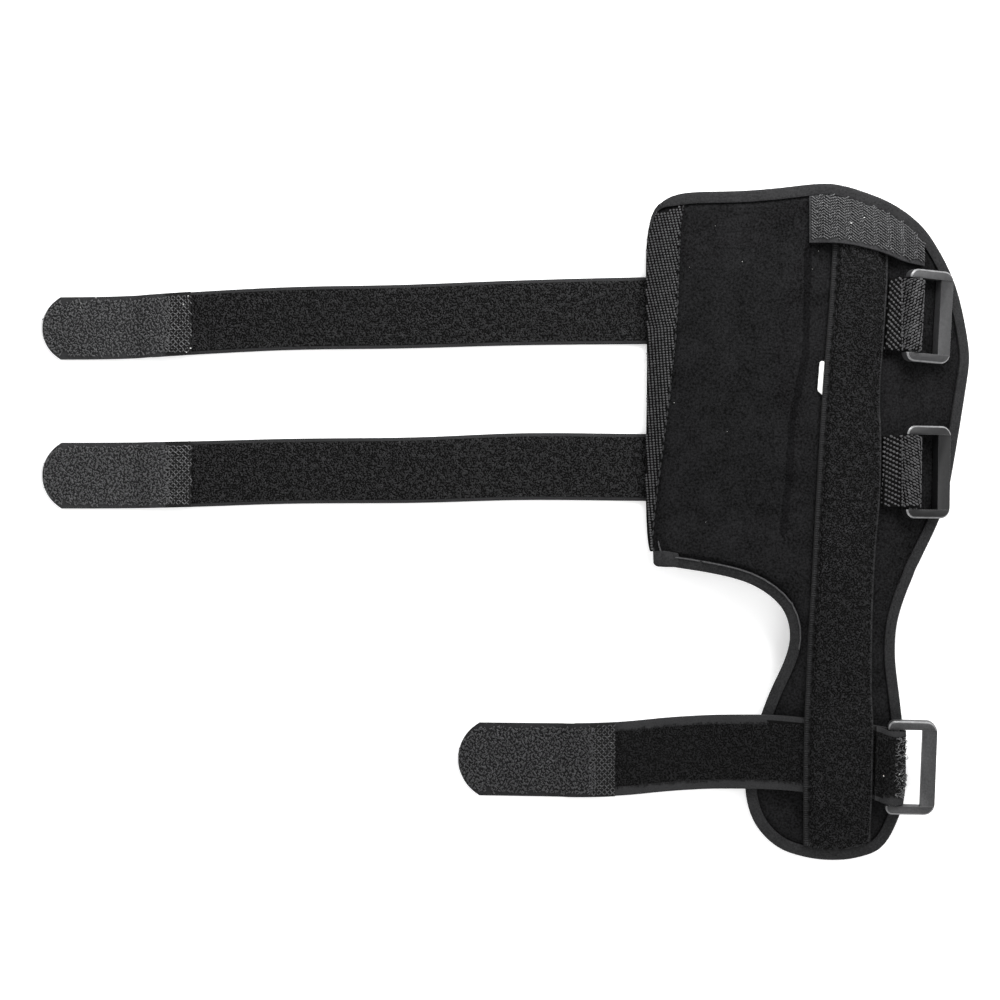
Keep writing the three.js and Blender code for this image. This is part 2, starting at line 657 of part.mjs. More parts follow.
function thumbStrapGeometry() {
  const frame = barFrame(thumbRing, THUMB_STRAP_THICKNESS);
  const end = -THUMB_STRAP_LENGTH - TAB_OVERLAP;
  const pad = [-thumbFoot - PAD_LEFT, -1];
  const tail = [end, lerp(end, -THUMB_STRAP_LENGTH, 0.5)];
  for (let i = 0; i < 8; i += 1) tail.push(lerp(-THUMB_STRAP_LENGTH, pad[0], i / 8));
  for (let i = 0; i < 9; i += 1) tail.push(lerp(pad[0], pad[1], i / 9));
  const path = wrapPath(THUMB_STRAP_THICKNESS, tail, RETURN_MARGIN - thumbRing.tail);
  return ribbonGeometry(frame, path, thumbWidth, thumbGround);
}

// Height of what lies under the stay pocket, above the panel: the thumb strap and the webbings
const BUMP_MARGIN = 2.6;
const BUMP_RAMP = 5;
function underPocket(x, y) {
  const thumbMiddle = thumbPlan(x - thumbFoot, 0).y;
  const thumbHalf = 0.5 * THUMB_STRAP_WIDTH + BUMP_MARGIN;
  const overThumb = smoothstep(Math.abs(y - thumbMiddle), thumbHalf, thumbHalf + BUMP_RAMP);
  let lift = (THUMB_STRAP_THICKNESS + 1.5 * CLEARANCE) * (1 - overThumb);
  RINGS.slice(0, 2).forEach((ring) => {
    const middle = -ring.down * PANEL_LENGTH;
    const half = 0.5 * WEBBING_WIDTH + BUMP_MARGIN;
    const down = -y / PANEL_LENGTH;
    const edge = pocketMiddle(down) + pocketHalf(down);
    const lifted = edge - WEBBING_TUCK - BUMP_MARGIN;
    const inside = smoothstep(x, lifted - BUMP_RAMP, lifted);
    const overRing = 1 - smoothstep(Math.abs(y - middle), half, half + BUMP_RAMP);
    lift = Math.max(lift, (WEBBING_THICKNESS + CLEARANCE) * inside * overRing);
  });
  return lift;
}

// Cross section of the pocket: share of the half width and thickness, selvages flat, middle raised
const POCKET_SECTION = [
  { aside: -1, high: 0 },
  { aside: -0.82, high: 0 },
  { aside: -0.7, high: 0.8 },
  { aside: -0.4, high: 1 },
  { aside: 0, high: 1 },
  { aside: 0.4, high: 1 },
  { aside: 0.7, high: 0.8 },
  { aside: 0.85, high: 0 },
  { aside: 1, high: 0 },
];
const POCKET_STEPS = 42;
const POCKET_TAPER = 7;

function pocketPoint(share, section) {
  const middle = -0.5 * PANEL_LENGTH;
  const endX = (down) => pocketMiddle(down) + section.aside * pocketHalf(down);
  const start = stepIn(endX(POCKET_START / PANEL_LENGTH), middle, 0, POCKET_START);
  const end = stepIn(endX(1), middle, -PANEL_LENGTH, PRESSED_INSET);
  const y = lerp(start, end, share);
  const half = pocketHalf(-y / PANEL_LENGTH);
  const flat = 1 - SELVAGE_WIDTH / half;
  const raised = Math.abs(section.aside) < 0.9 ? Math.min(Math.abs(section.aside) / 0.82, 1) * flat : 1;
  const x = pocketMiddle(-y / PANEL_LENGTH) + Math.sign(section.aside) * raised * half;
  const fromStart = smoothstep(start - y, 0, POCKET_TAPER);
  const fromEnd = smoothstep(y - end, 0, POCKET_TAPER);
  const high = section.high * fromStart * fromEnd;
  return { x, y, thickness: lerp(SELVAGE_THICKNESS, POCKET_THICKNESS, high) };
}

function pocketGeometry() {
  const upper = [];
  const lower = [];
  for (let i = 0; i <= POCKET_STEPS; i += 1) {
    const row = POCKET_SECTION.map((section) => pocketPoint(i / POCKET_STEPS, section));
    const base = row.map((p) => CLEARANCE + underPocket(p.x, p.y));
    upper.push(row.map((p, j) => layer(p.x, p.y, base[j] + p.thickness)));
    lower.push(row.map((p, j) => layer(p.x, p.y, base[j])));
  }
  return slab(upper, lower);
}

// Hook patch over the top of the pocket: sewn down along the binding, lifted over the pocket
const FLAP_SPREAD = 7;
function flapGeometry() {
  const across = 12;
  const deep = 5;
  const lowDown = 0.2 * WRIST_RIGHT;
  const left = pocketMiddle(0.09) - pocketHalf(0.09) - 0.85 * FLAP_WIDTH * 0.5 - 1;
  const upper = [];
  const lower = [];
  const cornerY = stepIn(left, -lowDown - FLAP_WIDTH, 0, BINDING_WIDTH) - FLAP_WIDTH;
  for (let i = 0; i <= across; i += 1) {
    const x = left + (FLAP_LENGTH * i) / across;
    const low = cornerY - FLAP_WIDTH * read(FLAP_EDGE, 'across', 'drop', i / across);
    const high = stepIn(x, low, 0, PRESSED_INSET);
    const rowUp = [];
    const rowLow = [];
    for (let j = 0; j <= deep; j += 1) {
      const y = lerp(high, low, j / deep);
      const down = -y / PANEL_LENGTH;
      const beyond = Math.abs(x - pocketMiddle(down)) - pocketHalf(down);
      const over = 1 - smoothstep(beyond, 0, FLAP_SPREAD);
      const lift = (POCKET_THICKNESS + CLEARANCE) * over * smoothstep(high - y, 0, 0.4 * FLAP_WIDTH);
      rowUp.push(layer(x, y, CLEARANCE + lift + FLAP_THICKNESS));
      rowLow.push(layer(x, y, CLEARANCE + lift));
    }
    upper.push(rowUp);
    lower.push(rowLow);
  }
  return slab(upper, lower);
}

// Plan place of a wrist strap: distance left of the panel's edge, and across from its middle
function strapPlace(lay, down, out, v) {
  const sway = STRAP_WIDTH * read(lay, 'reach', 'sway', out / STRAP_LENGTH);
  return new THREE.Vector2(-WRIST_LEFT - out, -down * PANEL_LENGTH + sway + v);
}
const strapWidth = (lay, out) => STRAP_WIDTH * read(lay, 'reach', 'width', out / STRAP_LENGTH);

// Wrist strap: flat on the surface, its inner end sewn against the panel's underside
const STRAP_COLUMNS = [-1, -0.86, 0.86, 1];
function wristStrapGeometry(lay, down) {
  const outs = [];
  for (let i = 0; i <= 4; i += 1) outs.push(lerp(-STRAP_TUCK, 0, i / 4));
  for (let i = 1; i <= 14; i += 1) outs.push(lerp(0, STRAP_LENGTH + TAB_OVERLAP, i / 14));
  const upper = [];
  const lower = [];
  outs.forEach((out) => {
    const half = 0.5 * strapWidth(lay, out);
    const row = STRAP_COLUMNS.map((share) => strapPlace(lay, down, out, share * half));
    const below = (p) => Math.max(underside(p.x, p.y) - CLEARANCE - STRAP_THICKNESS, 0);
    const lift = row.map((p) => (out < 0 ? below(p) : 0));
    const thin = STRAP_COLUMNS.map((share) => (Math.abs(share) === 1 ? 0.3 * STRAP_THICKNESS : 0));
    upper.push(row.map((p, j) => new THREE.Vector3(p.x, p.y, lift[j] + STRAP_THICKNESS - thin[j])));
    lower.push(row.map((p, j) => new THREE.Vector3(p.x, p.y, lift[j])));
  });
  return slab(upper, lower);
}

// Hook end: it starts on top of its strap, comes down past the strap's end and has a rounded tip
function hookTabGeometry(place, widthAt, start, tabLength, strapThickness) {
  const end = start + tabLength;
  const radius = TAB_ROUNDNESS * widthAt(end);
  const halfEnd = 0.5 * widthAt(end);
  const wide = Math.asin(halfEnd / radius);
  const stations = [];
  const flatEnd = end - radius + radius * Math.cos(wide);
  const rampEnd = start + TAB_OVERLAP + CLEARANCE + TAB_RAMP;
  [start, start + 0.5 * TAB_OVERLAP, start + TAB_OVERLAP + CLEARANCE].forEach((at) => stations.push([at, 1]));
  for (let i = 1; i <= 3; i += 1) stations.push([lerp(start + TAB_OVERLAP + CLEARANCE, rampEnd, i / 3), 1]);
  for (let i = 1; i <= 3; i += 1) stations.push([lerp(rampEnd, flatEnd, i / 3), 1]);
  for (let i = 1; i <= 5; i += 1) {
    const turn = wide * (1 - (0.88 * i) / 5);
    stations.push([end - radius + radius * Math.cos(turn), (radius * Math.sin(turn)) / halfEnd]);
  }
  const upper = [];
  const lower = [];
  stations.forEach(([at, share]) => {
    const half = 0.5 * widthAt(at) * share;
    const onStrap = 1 - smoothstep(at, start + TAB_OVERLAP + CLEARANCE, rampEnd);
    const lift = (strapThickness + CLEARANCE) * onStrap;
    const row = [-1, -0.34, 0.34, 1].map((v) => place(at, v * half));
    upper.push(row.map((p) => new THREE.Vector3(p.x, p.y, lift + TAB_THICKNESS)));
    lower.push(row.map((p) => new THREE.Vector3(p.x, p.y, lift)));
  });
  return slab(upper, lower);
}

// Manifold solid from a closed geometry, and back
function toManifold(geometry) {
  const bare = geometry.clone();
  bare.deleteAttribute('normal');
  bare.deleteAttribute('uv');
  const merged = mergeVertices(bare, 1e-4);
  const mesh = new wasm.Mesh({
    numProp: 3,
    vertProperties: new Float32Array(merged.attributes.position.array),
    triVerts: new Uint32Array(merged.index.array),
  });
  return new wasm.Manifold(mesh);
}

function fromManifold(manifold) {
  const mesh = manifold.getMesh();
  const geometry = new THREE.BufferGeometry();
  geometry.setAttribute('position', new THREE.Float32BufferAttribute(mesh.vertProperties, 3));
  geometry.setIndex(Array.from(mesh.triVerts));
  return geometry;
}

const box = (low, high) => {
  const size = high.map((value, i) => value - low[i]);
  const geometry = new THREE.BoxGeometry(...size);
  return geometry.translate(...low.map((value, i) => value + 0.5 * size[i]));
};

// Moulded ring in its own frame: X out from the bar, Y along the bar, Z up
function ringBody(strapWide, heelReach) {
  const windowHalf = 0.5 * strapWide + RING_SIDE_CLEARANCE;
  const half = windowHalf + RING_SIDE - RING_BEVEL;
  const near = -heelReach + RING_BEVEL;
  const far = RING_REACH - RING_BEVEL;
  const corner = Math.min(RING_CORNER, 0.9 * half);
  const heel = Math.min(heelReach - RING_BEVEL, corner);
  const shape = new THREE.Shape();
  shape.moveTo(near + heel, -half);
  shape.lineTo(far - corner, -half);
  shape.absarc(far - corner, -half + corner, corner, -Math.PI / 2, 0);
  shape.absarc(far - corner, half - corner, corner, 0, Math.PI / 2);
  shape.lineTo(near + heel, half);
  shape.absarc(near + heel, half - heel, heel, Math.PI / 2, Math.PI);
  shape.absarc(near + heel, -half + heel, heel, Math.PI, 1.5 * Math.PI);
  const plate = new THREE.ExtrudeGeometry(shape, {
    depth: RING_THICKNESS - 2 * RING_BEVEL,
    bevelThickness: RING_BEVEL,
    bevelSize: RING_BEVEL,
    bevelSegments: 1,
    curveSegments: 3,
  });
  plate.translate(0, 0, RING_BEVEL - 0.5 * RING_THICKNESS);
  const windowFar = RING_REACH - RING_OUTER_BAR;
  const deep = RING_THICKNESS;
  const opening = box([-2 * heelReach, -windowHalf, -deep], [windowFar, windowHalf, deep]);
  const stepLow = 0.5 * RING_THICKNESS - RING_STEP;
  const step = box([windowFar - 1, -windowHalf, stepLow], [2 * RING_REACH, windowHalf, RING_THICKNESS]);
  const bar = new THREE.CylinderGeometry(RING_BAR_RADIUS, RING_BAR_RADIUS, 2 * windowHalf + RING_SIDE, 12);
  const body = toManifold(plate).subtract(toManifold(opening)).subtract(toManifold(step));
  return fromManifold(body.add(toManifold(bar)));
}

// How far a ring can fall about its bar before its underside meets the panel or its binding
function restAngle(frame, ringLength) {
  const clear = (angle) => {
    const out = frame.out.clone().applyAxisAngle(frame.bar, angle);
    const up = frame.up.clone().applyAxisAngle(frame.bar, angle);
    for (let i = 0; i <= 10; i += 1) {
      for (const v of [-0.5, -0.4, 0, 0.4, 0.5]) {
        const point = frame.centre
          .clone()
          .addScaledVector(out, lerp(0, RING_REACH, i / 10))
          .addScaledVector(up, -0.5 * RING_THICKNESS)
          .addScaledVector(frame.bar, v * ringLength);
        const inside = inOutline(point.x, point.y);
        if (inside && point.z - topHeight(point.x, point.y) < BINDING_TOP + CLEARANCE) return false;
        if (point.z < CLEARANCE) return false;
      }
    }
    return true;
  };
  let angle = 0;
  const step = degToRad(0.25);
  while (clear(angle + step) && angle < Math.PI / 3) angle += step;
  return angle;
}

// Whether a plan point lies inside the finished outline
function inOutline(x, y) {
  let inside = false;
  outline.forEach((a, i) => {
    const b = outline[(i + 1) % COUNT];
    const crosses = a.y > y !== b.y > y;
    if (crosses && x < a.x + ((y - a.y) * (b.x - a.x)) / (b.y - a.y)) inside = !inside;
  });
  return inside;
}

// Blank label: a short tab beside the pocket's left edge
const LABEL_DOWN = 0.287;
function labelGeometry() {
  const upper = [];
  const lower = [];
  for (let i = 0; i <= 3; i += 1) {
    const y = -LABEL_DOWN * PANEL_LENGTH + LABEL_LENGTH * (0.5 - i / 3);
    const down = -y / PANEL_LENGTH;
    const edge = pocketMiddle(down) - pocketHalf(down) - CLEARANCE;
    const cut = i === 3 ? 0.45 * LABEL_WIDTH : 0;
    const xs = [edge - LABEL_WIDTH + cut, edge];
    upper.push(xs.map((x) => layer(x, y, CLEARANCE + LABEL_THICKNESS)));
    lower.push(xs.map((x) => layer(x, y, CLEARANCE)));
  }
  return slab(upper, lower);
}

// The panel is set down: the lowest point of its binding touches the surface
function lowestPoint(geometry) {
  geometry.computeBoundingBox();
  return geometry.boundingBox.min.z;
}
setDown(-lowestPoint(bindingGeometry()));

const fabric = (color, roughness) => new THREE.MeshStandardMaterial({ color, roughness, metalness: 0 });
const loopCloth = fabric(0x1e1e1f, 0.95);
const laminate = fabric(0x222223, 0.9);
const bindingTape = fabric(0x39393a, 0.75);
const wovenTape = fabric(0x3c3c3d, 0.8);
const hookTape = fabric(0x444445, 0.6);
const blackPlastic = fabric(0x4a4a4b, 0.4);
const whiteTape = fabric(0xf2f2f0, 0.7);

const splint = new THREE.Group();
function piece(name, geometry, material) {
  const mesh = new THREE.Mesh(geometry, material);
  mesh.name = name;
  splint.add(mesh);
  return mesh;
}

piece('panel', panelGeometry(), laminate);
piece('edge_binding', bindingGeometry(), bindingTape);
piece('edge_tape', tapeGeometry(), wovenTape);
piece('stay_pocket', pocketGeometry(), loopCloth);
piece('pocket_flap', flapGeometry(), hookTape);
piece('label_tab', labelGeometry(), whiteTape);

const wristStraps = [
  { name: 'upper', lay: UPPER_LAY, down: UPPER_STRAP_DOWN },
  { name: 'lower', lay: LOWER_LAY, down: LOWER_STRAP_DOWN },
];
wristStraps.forEach(({ name, lay, down }) => {
  piece(`${name}_strap`, wristStrapGeometry(lay, down), loopCloth);
  const place = (out, v) => strapPlace(lay, down, out, v);
  const widthAt = (out) => strapWidth(lay, out);
  piece(`${name}_hook_tab`, hookTabGeometry(place, widthAt, STRAP_LENGTH, TAB_LENGTH, STRAP_THICKNESS), hookTape);
});
piece('thumb_strap', thumbStrapGeometry(), loopCloth);
piece(
  'thumb_hook_tab',
  hookTabGeometry(
    (out, v) => thumbPlan(-out, v),
    (out) => thumbWidth(-out),
    THUMB_STRAP_LENGTH,
    THUMB_TAB_LENGTH,
    THUMB_STRAP_THICKNESS,
  ),
  hookTape,
);

RINGS.forEach((ring) => {
  const isThumb = ring === thumbRing;
  const frame = barFrame(ring, isThumb ? THUMB_STRAP_THICKNESS : WEBBING_THICKNESS);
  if (!isThumb) piece(`${ring.name}_ring_loop`, ringLoopGeometry(ring), wovenTape);
  const strapWide = isThumb ? THUMB_STRAP_WIDTH : WEBBING_WIDTH;
  const mesh = piece(`${ring.name}_ring`, ringBody(strapWide, ring.heel), blackPlastic);
  const level = Math.asin(Math.min(Math.max(-frame.out.z, 0), 1));
  const ringLength = strapWide + 2 * (RING_SIDE_CLEARANCE + RING_SIDE);
  const turn = isThumb ? -level : restAngle(frame, ringLength);
  mesh.quaternion.setFromRotationMatrix(new THREE.Matrix4().makeBasis(frame.out, frame.bar, frame.up));
  mesh.quaternion.premultiply(new THREE.Quaternion().setFromAxisAngle(frame.bar, turn));
  mesh.position.copy(frame.centre);
});

// Centre the splint over the origin
const extent = new THREE.Box3().setFromObject(splint, true);
splint.position.x = -0.5 * (extent.min.x + extent.max.x);
splint.position.y = -0.5 * (extent.min.y + extent.max.y);
splint.updateMatrixWorld(true);

export default splint;
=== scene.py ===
# %% [markdown]
# A thumb spica splint lies face up on a white table. Its panel, binding, tapes and straps are cloth,
# and three plastic rings hang on loops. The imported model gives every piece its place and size, and
# this script gives each one its finish.

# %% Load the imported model
import math
import random

import bmesh
import bpy
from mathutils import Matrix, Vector, noise
from mathutils.bvhtree import BVHTree


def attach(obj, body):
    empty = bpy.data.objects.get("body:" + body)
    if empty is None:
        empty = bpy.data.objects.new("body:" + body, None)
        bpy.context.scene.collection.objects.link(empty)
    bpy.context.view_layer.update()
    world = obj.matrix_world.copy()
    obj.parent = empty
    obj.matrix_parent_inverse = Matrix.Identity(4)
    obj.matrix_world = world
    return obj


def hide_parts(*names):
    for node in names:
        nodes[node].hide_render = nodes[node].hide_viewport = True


MM = 0.001
UP = Vector((0, 0, 1))
DOWN = Vector((0, 0, -1))

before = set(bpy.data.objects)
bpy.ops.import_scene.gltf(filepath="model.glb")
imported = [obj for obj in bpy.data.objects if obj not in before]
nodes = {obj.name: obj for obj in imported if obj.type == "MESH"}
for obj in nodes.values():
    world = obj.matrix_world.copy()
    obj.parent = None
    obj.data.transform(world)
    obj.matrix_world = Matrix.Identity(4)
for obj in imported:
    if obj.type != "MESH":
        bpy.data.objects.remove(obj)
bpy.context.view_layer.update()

# %% [markdown]
# The photograph was taken from straight above. The camera stands over the middle of the picture, high
# enough that the raised middle of the splint hardly spreads. A lit white table and a white sky wash
# out as they do in the photograph. A soft window on the upper right gives the rings their gloss, a near
# one lights the forearm end, and weaker ones fill from the left, the right and below.

# %% Camera, table and light
CAMERA_X = -2.05 * MM
CAMERA_Y = 7.95 * MM
CAMERA_HEIGHT = 1.2
PICTURE_WIDTH = 0.34
PICTURE_PIXELS = 1000

lens = bpy.data.cameras.new("photo_camera")
lens.sensor_width = 36
lens.lens = lens.sensor_width * CAMERA_HEIGHT / PICTURE_WIDTH
lens.clip_end = 20
camera = bpy.data.objects.new("photo_camera", lens)
camera.location = (CAMERA_X, CAMERA_Y, CAMERA_HEIGHT)
bpy.context.scene.collection.objects.link(camera)
bpy.context.scene.camera = camera
bpy.context.scene.view_settings.view_transform = "Standard"


def linear(code):
    """Linear colour of an sRGB hex value."""
    parts = [int(code[i : i + 2], 16) / 255 for i in (0, 2, 4)]
    return [p / 12.92 if p <= 0.04045 else ((p + 0.055) / 1.055) ** 2.4 for p in parts] + [1.0]


def add(tree, kind, settings=None, values=None, links=None):
    """One node of a tree, with its settings, the values of its sockets and what feeds them."""
    node = tree.nodes.new(kind)
    for key, value in (settings or {}).items():
        setattr(node, key, value)
    for key, value in (values or {}).items():
        node.inputs[key].default_value = value
    for key, source in (links or {}).items():
        tree.links.new(source, node.inputs[key])
    return node


world = bpy.data.worlds.new("white_studio")
bpy.context.scene.world = world
world.use_nodes = True
sky = world.node_tree.nodes["Background"]
sky.inputs["Color"].default_value = (1, 1, 1, 1)
sky.inputs["Strength"].default_value = 0.5


def window(name, place, size, power):
    """A soft square light that faces the middle of the splint."""
    data = bpy.data.lights.new(name, "AREA")
    data.size = size
    data.energy = power
    lamp = bpy.data.objects.new(name, data)
    lamp.location = place
    lamp.rotation_euler = (-Vector(place)).to_track_quat("-Z", "Y").to_euler()
    bpy.context.scene.collection.objects.link(lamp)


window("window_upper_right", (0.9, 1.1, 1.3), 0.8, 18)
window("window_left", (-1.3, 0.2, 1.1), 0.9, 5)
window("window_right", (1.5, 0.1, 0.95), 0.6, 5)
window("window_near", (0.12, 0.31, 0.2), 0.2, 1.5)
window("window_below", (0.1, -0.7, 0.5), 0.5, 3)

# %% [markdown]
# Near-black cloth shows by its pile and its weave, not by its colour, so each fabric mixes two close
# greys in grains of a real size. The shine of a thread is faint, and only the plastic has a clear one.


# %% Cloth and plastic finishes
TONE_MIDDLE = 0.65
TONE_REACH = 0.23
PATCH_SHARE = 0.3


def finish(name, dark, light, grain_mm, roughness, specular, relief_mm=0.0, patches_mm=9, contrast=1.0):
    """A finish of two close tones in fine grains and wide patches."""
    material = bpy.data.materials.new(name)
    material.use_nodes = True
    tree = material.node_tree
    shader = tree.nodes["Principled BSDF"]
    shader.inputs["Roughness"].default_value = roughness
    shader.inputs["Specular IOR Level"].default_value = specular
    place = add(tree, "ShaderNodeTexCoord").outputs["Object"]
    grain = add(
        tree,
        "ShaderNodeTexNoise",
        values={"Scale": 1 / (grain_mm * MM), "Detail": 3.0, "Roughness": 0.6},
        links={"Vector": place},
    )
    patches = add(
        tree,
        "ShaderNodeTexNoise",
        values={"Scale": 1 / (patches_mm * MM), "Detail": 2.0},
        links={"Vector": place},
    )
    both = add(
        tree,
        "ShaderNodeMath",
        {"operation": "MULTIPLY_ADD"},
        {1: PATCH_SHARE},
        {0: patches.outputs["Fac"], 2: grain.outputs["Fac"]},
    )
    tone = add(
        tree,
        "ShaderNodeMapRange",
        values={
            "From Min": TONE_MIDDLE - TONE_REACH / contrast,
            "From Max": TONE_MIDDLE + TONE_REACH / contrast,
        },
        links={"Value": both.outputs[0]},
    )
    colour = add(
        tree,
        "ShaderNodeMix",
        {"data_type": "RGBA"},
        {6: linear(dark), 7: linear(light)},
        {0: tone.outputs[0]},
    )
    tree.links.new(colour.outputs[2], shader.inputs["Base Color"])
    if relief_mm:
        bump = add(
            tree,
            "ShaderNodeBump",
            values={"Strength": 1.0, "Distance": relief_mm * MM},
            links={"Height": grain.outputs["Fac"]},
        )
        tree.links.new(bump.outputs[0], shader.inputs["Normal"])
    return material


# Brushed tricot knit on foam: a soft matt nap, so hardly any shine
tricot = finish("brushed_tricot", "020202", "1d1d1e", 0.7, 0.95, 0.08, relief_mm=0.18, contrast=1.25)
# The same knit painted darker, as shade in the valley of a fold
crease_painted_shade = finish("tricot_painted_fold_shade", "020202", "151516", 0.7, 0.95, 0.06, relief_mm=0.18, contrast=1.25)
# Folded polyester tape: finer and a little smoother than the knit
folded_tape = finish("folded_polyester_tape", "121213", "252526", 0.6, 0.8, 0.2, relief_mm=0.1, contrast=1.6)
# Its stitched inner ridge, painted a little lighter as a highlight on its crest
ridge_painted_highlight = finish("tape_ridge_painted_highlight", "2e2e2f", "404041", 0.6, 0.6, 0.3)
# Ground of the woven tapes, seen between the yarns
tape_ground = finish("woven_tape_ground", "050505", "0e0e0e", 0.6, 0.95, 0.05)
# Nylon yarns of the woven tapes: slightly glossy bundles
nylon_yarn = finish("woven_nylon_yarn", "2b2b2c", "424243", 0.7, 0.55, 0.35, patches_mm=4)
# Ground knit under the loop pile
pile_ground = finish("loop_pile_ground", "080808", "141414", 0.7, 0.95, 0.05, relief_mm=0.2)
# Raised nylon loops: each one catches light on its own
loop_nylon = finish("loop_pile_nylon", "0f0f0f", "2c2c2d", 0.8, 0.7, 0.2, patches_mm=3)
# The pocket is worn, and its loops have lost their shine
worn_loops = finish("worn_loop_nylon", "0b0b0b", "2b2b2c", 0.9, 0.8, 0.12, patches_mm=4)
# The thumb strap's loops are painted darker, as shade at the dimmer lower end
loops_painted_shade = finish("loop_nylon_painted_shade", "080808", "1f1f20", 0.8, 0.8, 0.15, patches_mm=3)
# Fibres pulled out of the pile where a strap folds round its ring, painted pale as glints
fibre_painted_glint = finish("pile_fibre_painted_glint", "3a3a3b", "707071", 0.8, 0.4, 0.5, patches_mm=2)
# Smooth woven edge of the loop tape
selvage_nylon = finish("loop_tape_selvage", "1c1c1d", "2c2c2d", 0.5, 0.8, 0.2, relief_mm=0.08)
# The pocket strip's own woven edge, darker with wear
worn_selvage = finish("worn_loop_tape_selvage", "0c0c0c", "1c1c1d", 0.7, 0.8, 0.15, relief_mm=0.08)
# Ground of the hook tape
hook_ground = finish("hook_tape_ground", "202021", "353536", 0.6, 0.8, 0.15, relief_mm=0.1)
# The thumb strap's hook tape ground, painted darker as shade at the dimmer lower end
hook_base_painted_shade = finish("hook_tape_base_painted_shade", "151516", "262627", 0.6, 0.8, 0.15, relief_mm=0.1)
# Ground of the weld, pressed flat and black
weld_ground = finish("pressed_weld_ground", "050505", "111111", 0.6, 0.7, 0.2)
# Stiff nylon hooks, cut from thick glossy thread, and those of the thumb strap painted darker as shade
hook_nylon = finish("hook_nylon", "363637", "585859", 0.9, 0.4, 0.5, patches_mm=3)
hooks_nylon_painted_shade = finish("hooks_nylon_painted_shade", "292929", "48484a", 0.9, 0.4, 0.45, patches_mm=3)
# The patch over the pocket has slightly duller hooks
patch_nylon = finish("patch_hook_nylon", "363637", "575758", 0.9, 0.45, 0.45, patches_mm=3)
# Sewing thread
thread = finish("sewing_thread", "020202", "0a0a0a", 0.6, 0.8, 0.1)
# White woven polyester of the blank tab
label_white = finish("label_woven_polyester", "e6e6e4", "f6f6f4", 0.4, 0.7, 0.3, relief_mm=0.03)
# Injection moulded acetal: satin skin with a faint cloudiness
acetal = finish("moulded_black_acetal", "0c0c0d", "141415", 1.2, 0.5, 0.35, relief_mm=0.01)
# The upper ring is painted a lighter grey all over, a painted reflection of the window on its tilted face
acetal_painted_reflection = finish("acetal_painted_reflection", "2a2a2b", "363637", 1.2, 0.55, 0.4, relief_mm=0.01)
# The thumb ring has a fine matt grain
grained_acetal = finish("grained_acetal", "202021", "383839", 0.6, 0.55, 0.45, relief_mm=0.02)
# Painted highlight on the rings' sloping edges, a paler colour
edge_painted_highlight = finish("acetal_rim_painted_highlight", "565657", "7a7a7b", 1.6, 0.3, 0.6)
# Stray lint, and small bright specks that are painted glints of the window
pale_lint = finish("pale_lint", "5c5c5a", "8a8a88", 0.6, 0.8, 0.2)
painted_glints = finish("painted_glint_specks", "b4b4b2", "e0e0de", 0.6, 0.4, 0.5)
# Table of white laminate, lit from below
table_white = finish("white_table", "f4f4f4", "f8f8f8", 30, 0.9, 0.1)

bpy.ops.mesh.primitive_plane_add(size=30, location=(0, 0, -0.02 * MM))
table = bpy.context.object
table.name = "white_table"
glow = table_white.node_tree.nodes["Principled BSDF"].inputs
glow["Emission Color"].default_value = (1, 1, 1, 1)
glow["Emission Strength"].default_value = 0.36
table.data.materials.append(table_white)
print("finishes", len(bpy.data.materials))

# %% [markdown]
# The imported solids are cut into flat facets. A copy of each cloth solid is merged, its triangles are
# paired into quads, and a subdivision surface with creased rims turns it into a smooth body of cloth
# with the same outline. A small bevel then rounds the rims as a cut or folded edge is rounded.


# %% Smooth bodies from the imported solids
def plain(piece):
    """Turns what the modifiers show into the piece's own mesh."""
    bpy.context.view_layer.update()
    shown = piece.evaluated_get(bpy.context.evaluated_depsgraph_get())
    mesh = bpy.data.meshes.new_from_object(shown)
    piece.modifiers.clear()
    piece.data = mesh
    mesh.name = piece.name
    return piece


def merged(node):
    """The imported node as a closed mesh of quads."""
    body = bmesh.new()
    body.from_mesh(nodes[node].data)
    bmesh.ops.remove_doubles(body, verts=body.verts, dist=0.01 * MM)
    bmesh.ops.join_triangles(
        body,
        faces=body.faces,
        angle_face_threshold=math.radians(30),
        angle_shape_threshold=math.radians(60),
    )
    return body


def new_piece(name, mesh, material):
    """An object of one material at the origin."""
    piece = bpy.data.objects.new(name, mesh)
    bpy.context.scene.collection.objects.link(piece)
    mesh.materials.clear()
    mesh.materials.append(material)
    return piece


def softened(name, node, material, levels=2, crease_from=40, round_mm=0.3):
    """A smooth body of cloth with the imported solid's outline."""
    body = merged(node)
    crease = body.edges.layers.float.new("crease_edge")
    for edge in body.edges:
        if edge.is_manifold and edge.calc_face_angle() > math.radians(crease_from):
            edge[crease] = 1.0
    mesh = bpy.data.meshes.new(name)
    body.to_mesh(mesh)
    body.free()
    piece = new_piece(name, mesh, material)
    smooth = piece.modifiers.new("smooth", "SUBSURF")
    smooth.levels = levels
    smooth.render_levels = levels
    if round_mm:
        rim = piece.modifiers.new("rim", "BEVEL")
        rim.width = round_mm * MM
        rim.segments = 2
        rim.limit_method = "ANGLE"
        rim.angle_limit = math.radians(50)
    plain(piece)
    piece.data.polygons.foreach_set("use_smooth", [True] * len(piece.data.polygons))
    piece.data.set_sharp_from_angle(angle=math.radians(50))
    print(name, len(piece.data.polygons), "faces")
    return piece


def keep(piece, node, body):
    """The finished piece moves with a body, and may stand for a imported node."""
    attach(piece, body)
    if node:
        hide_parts(node)


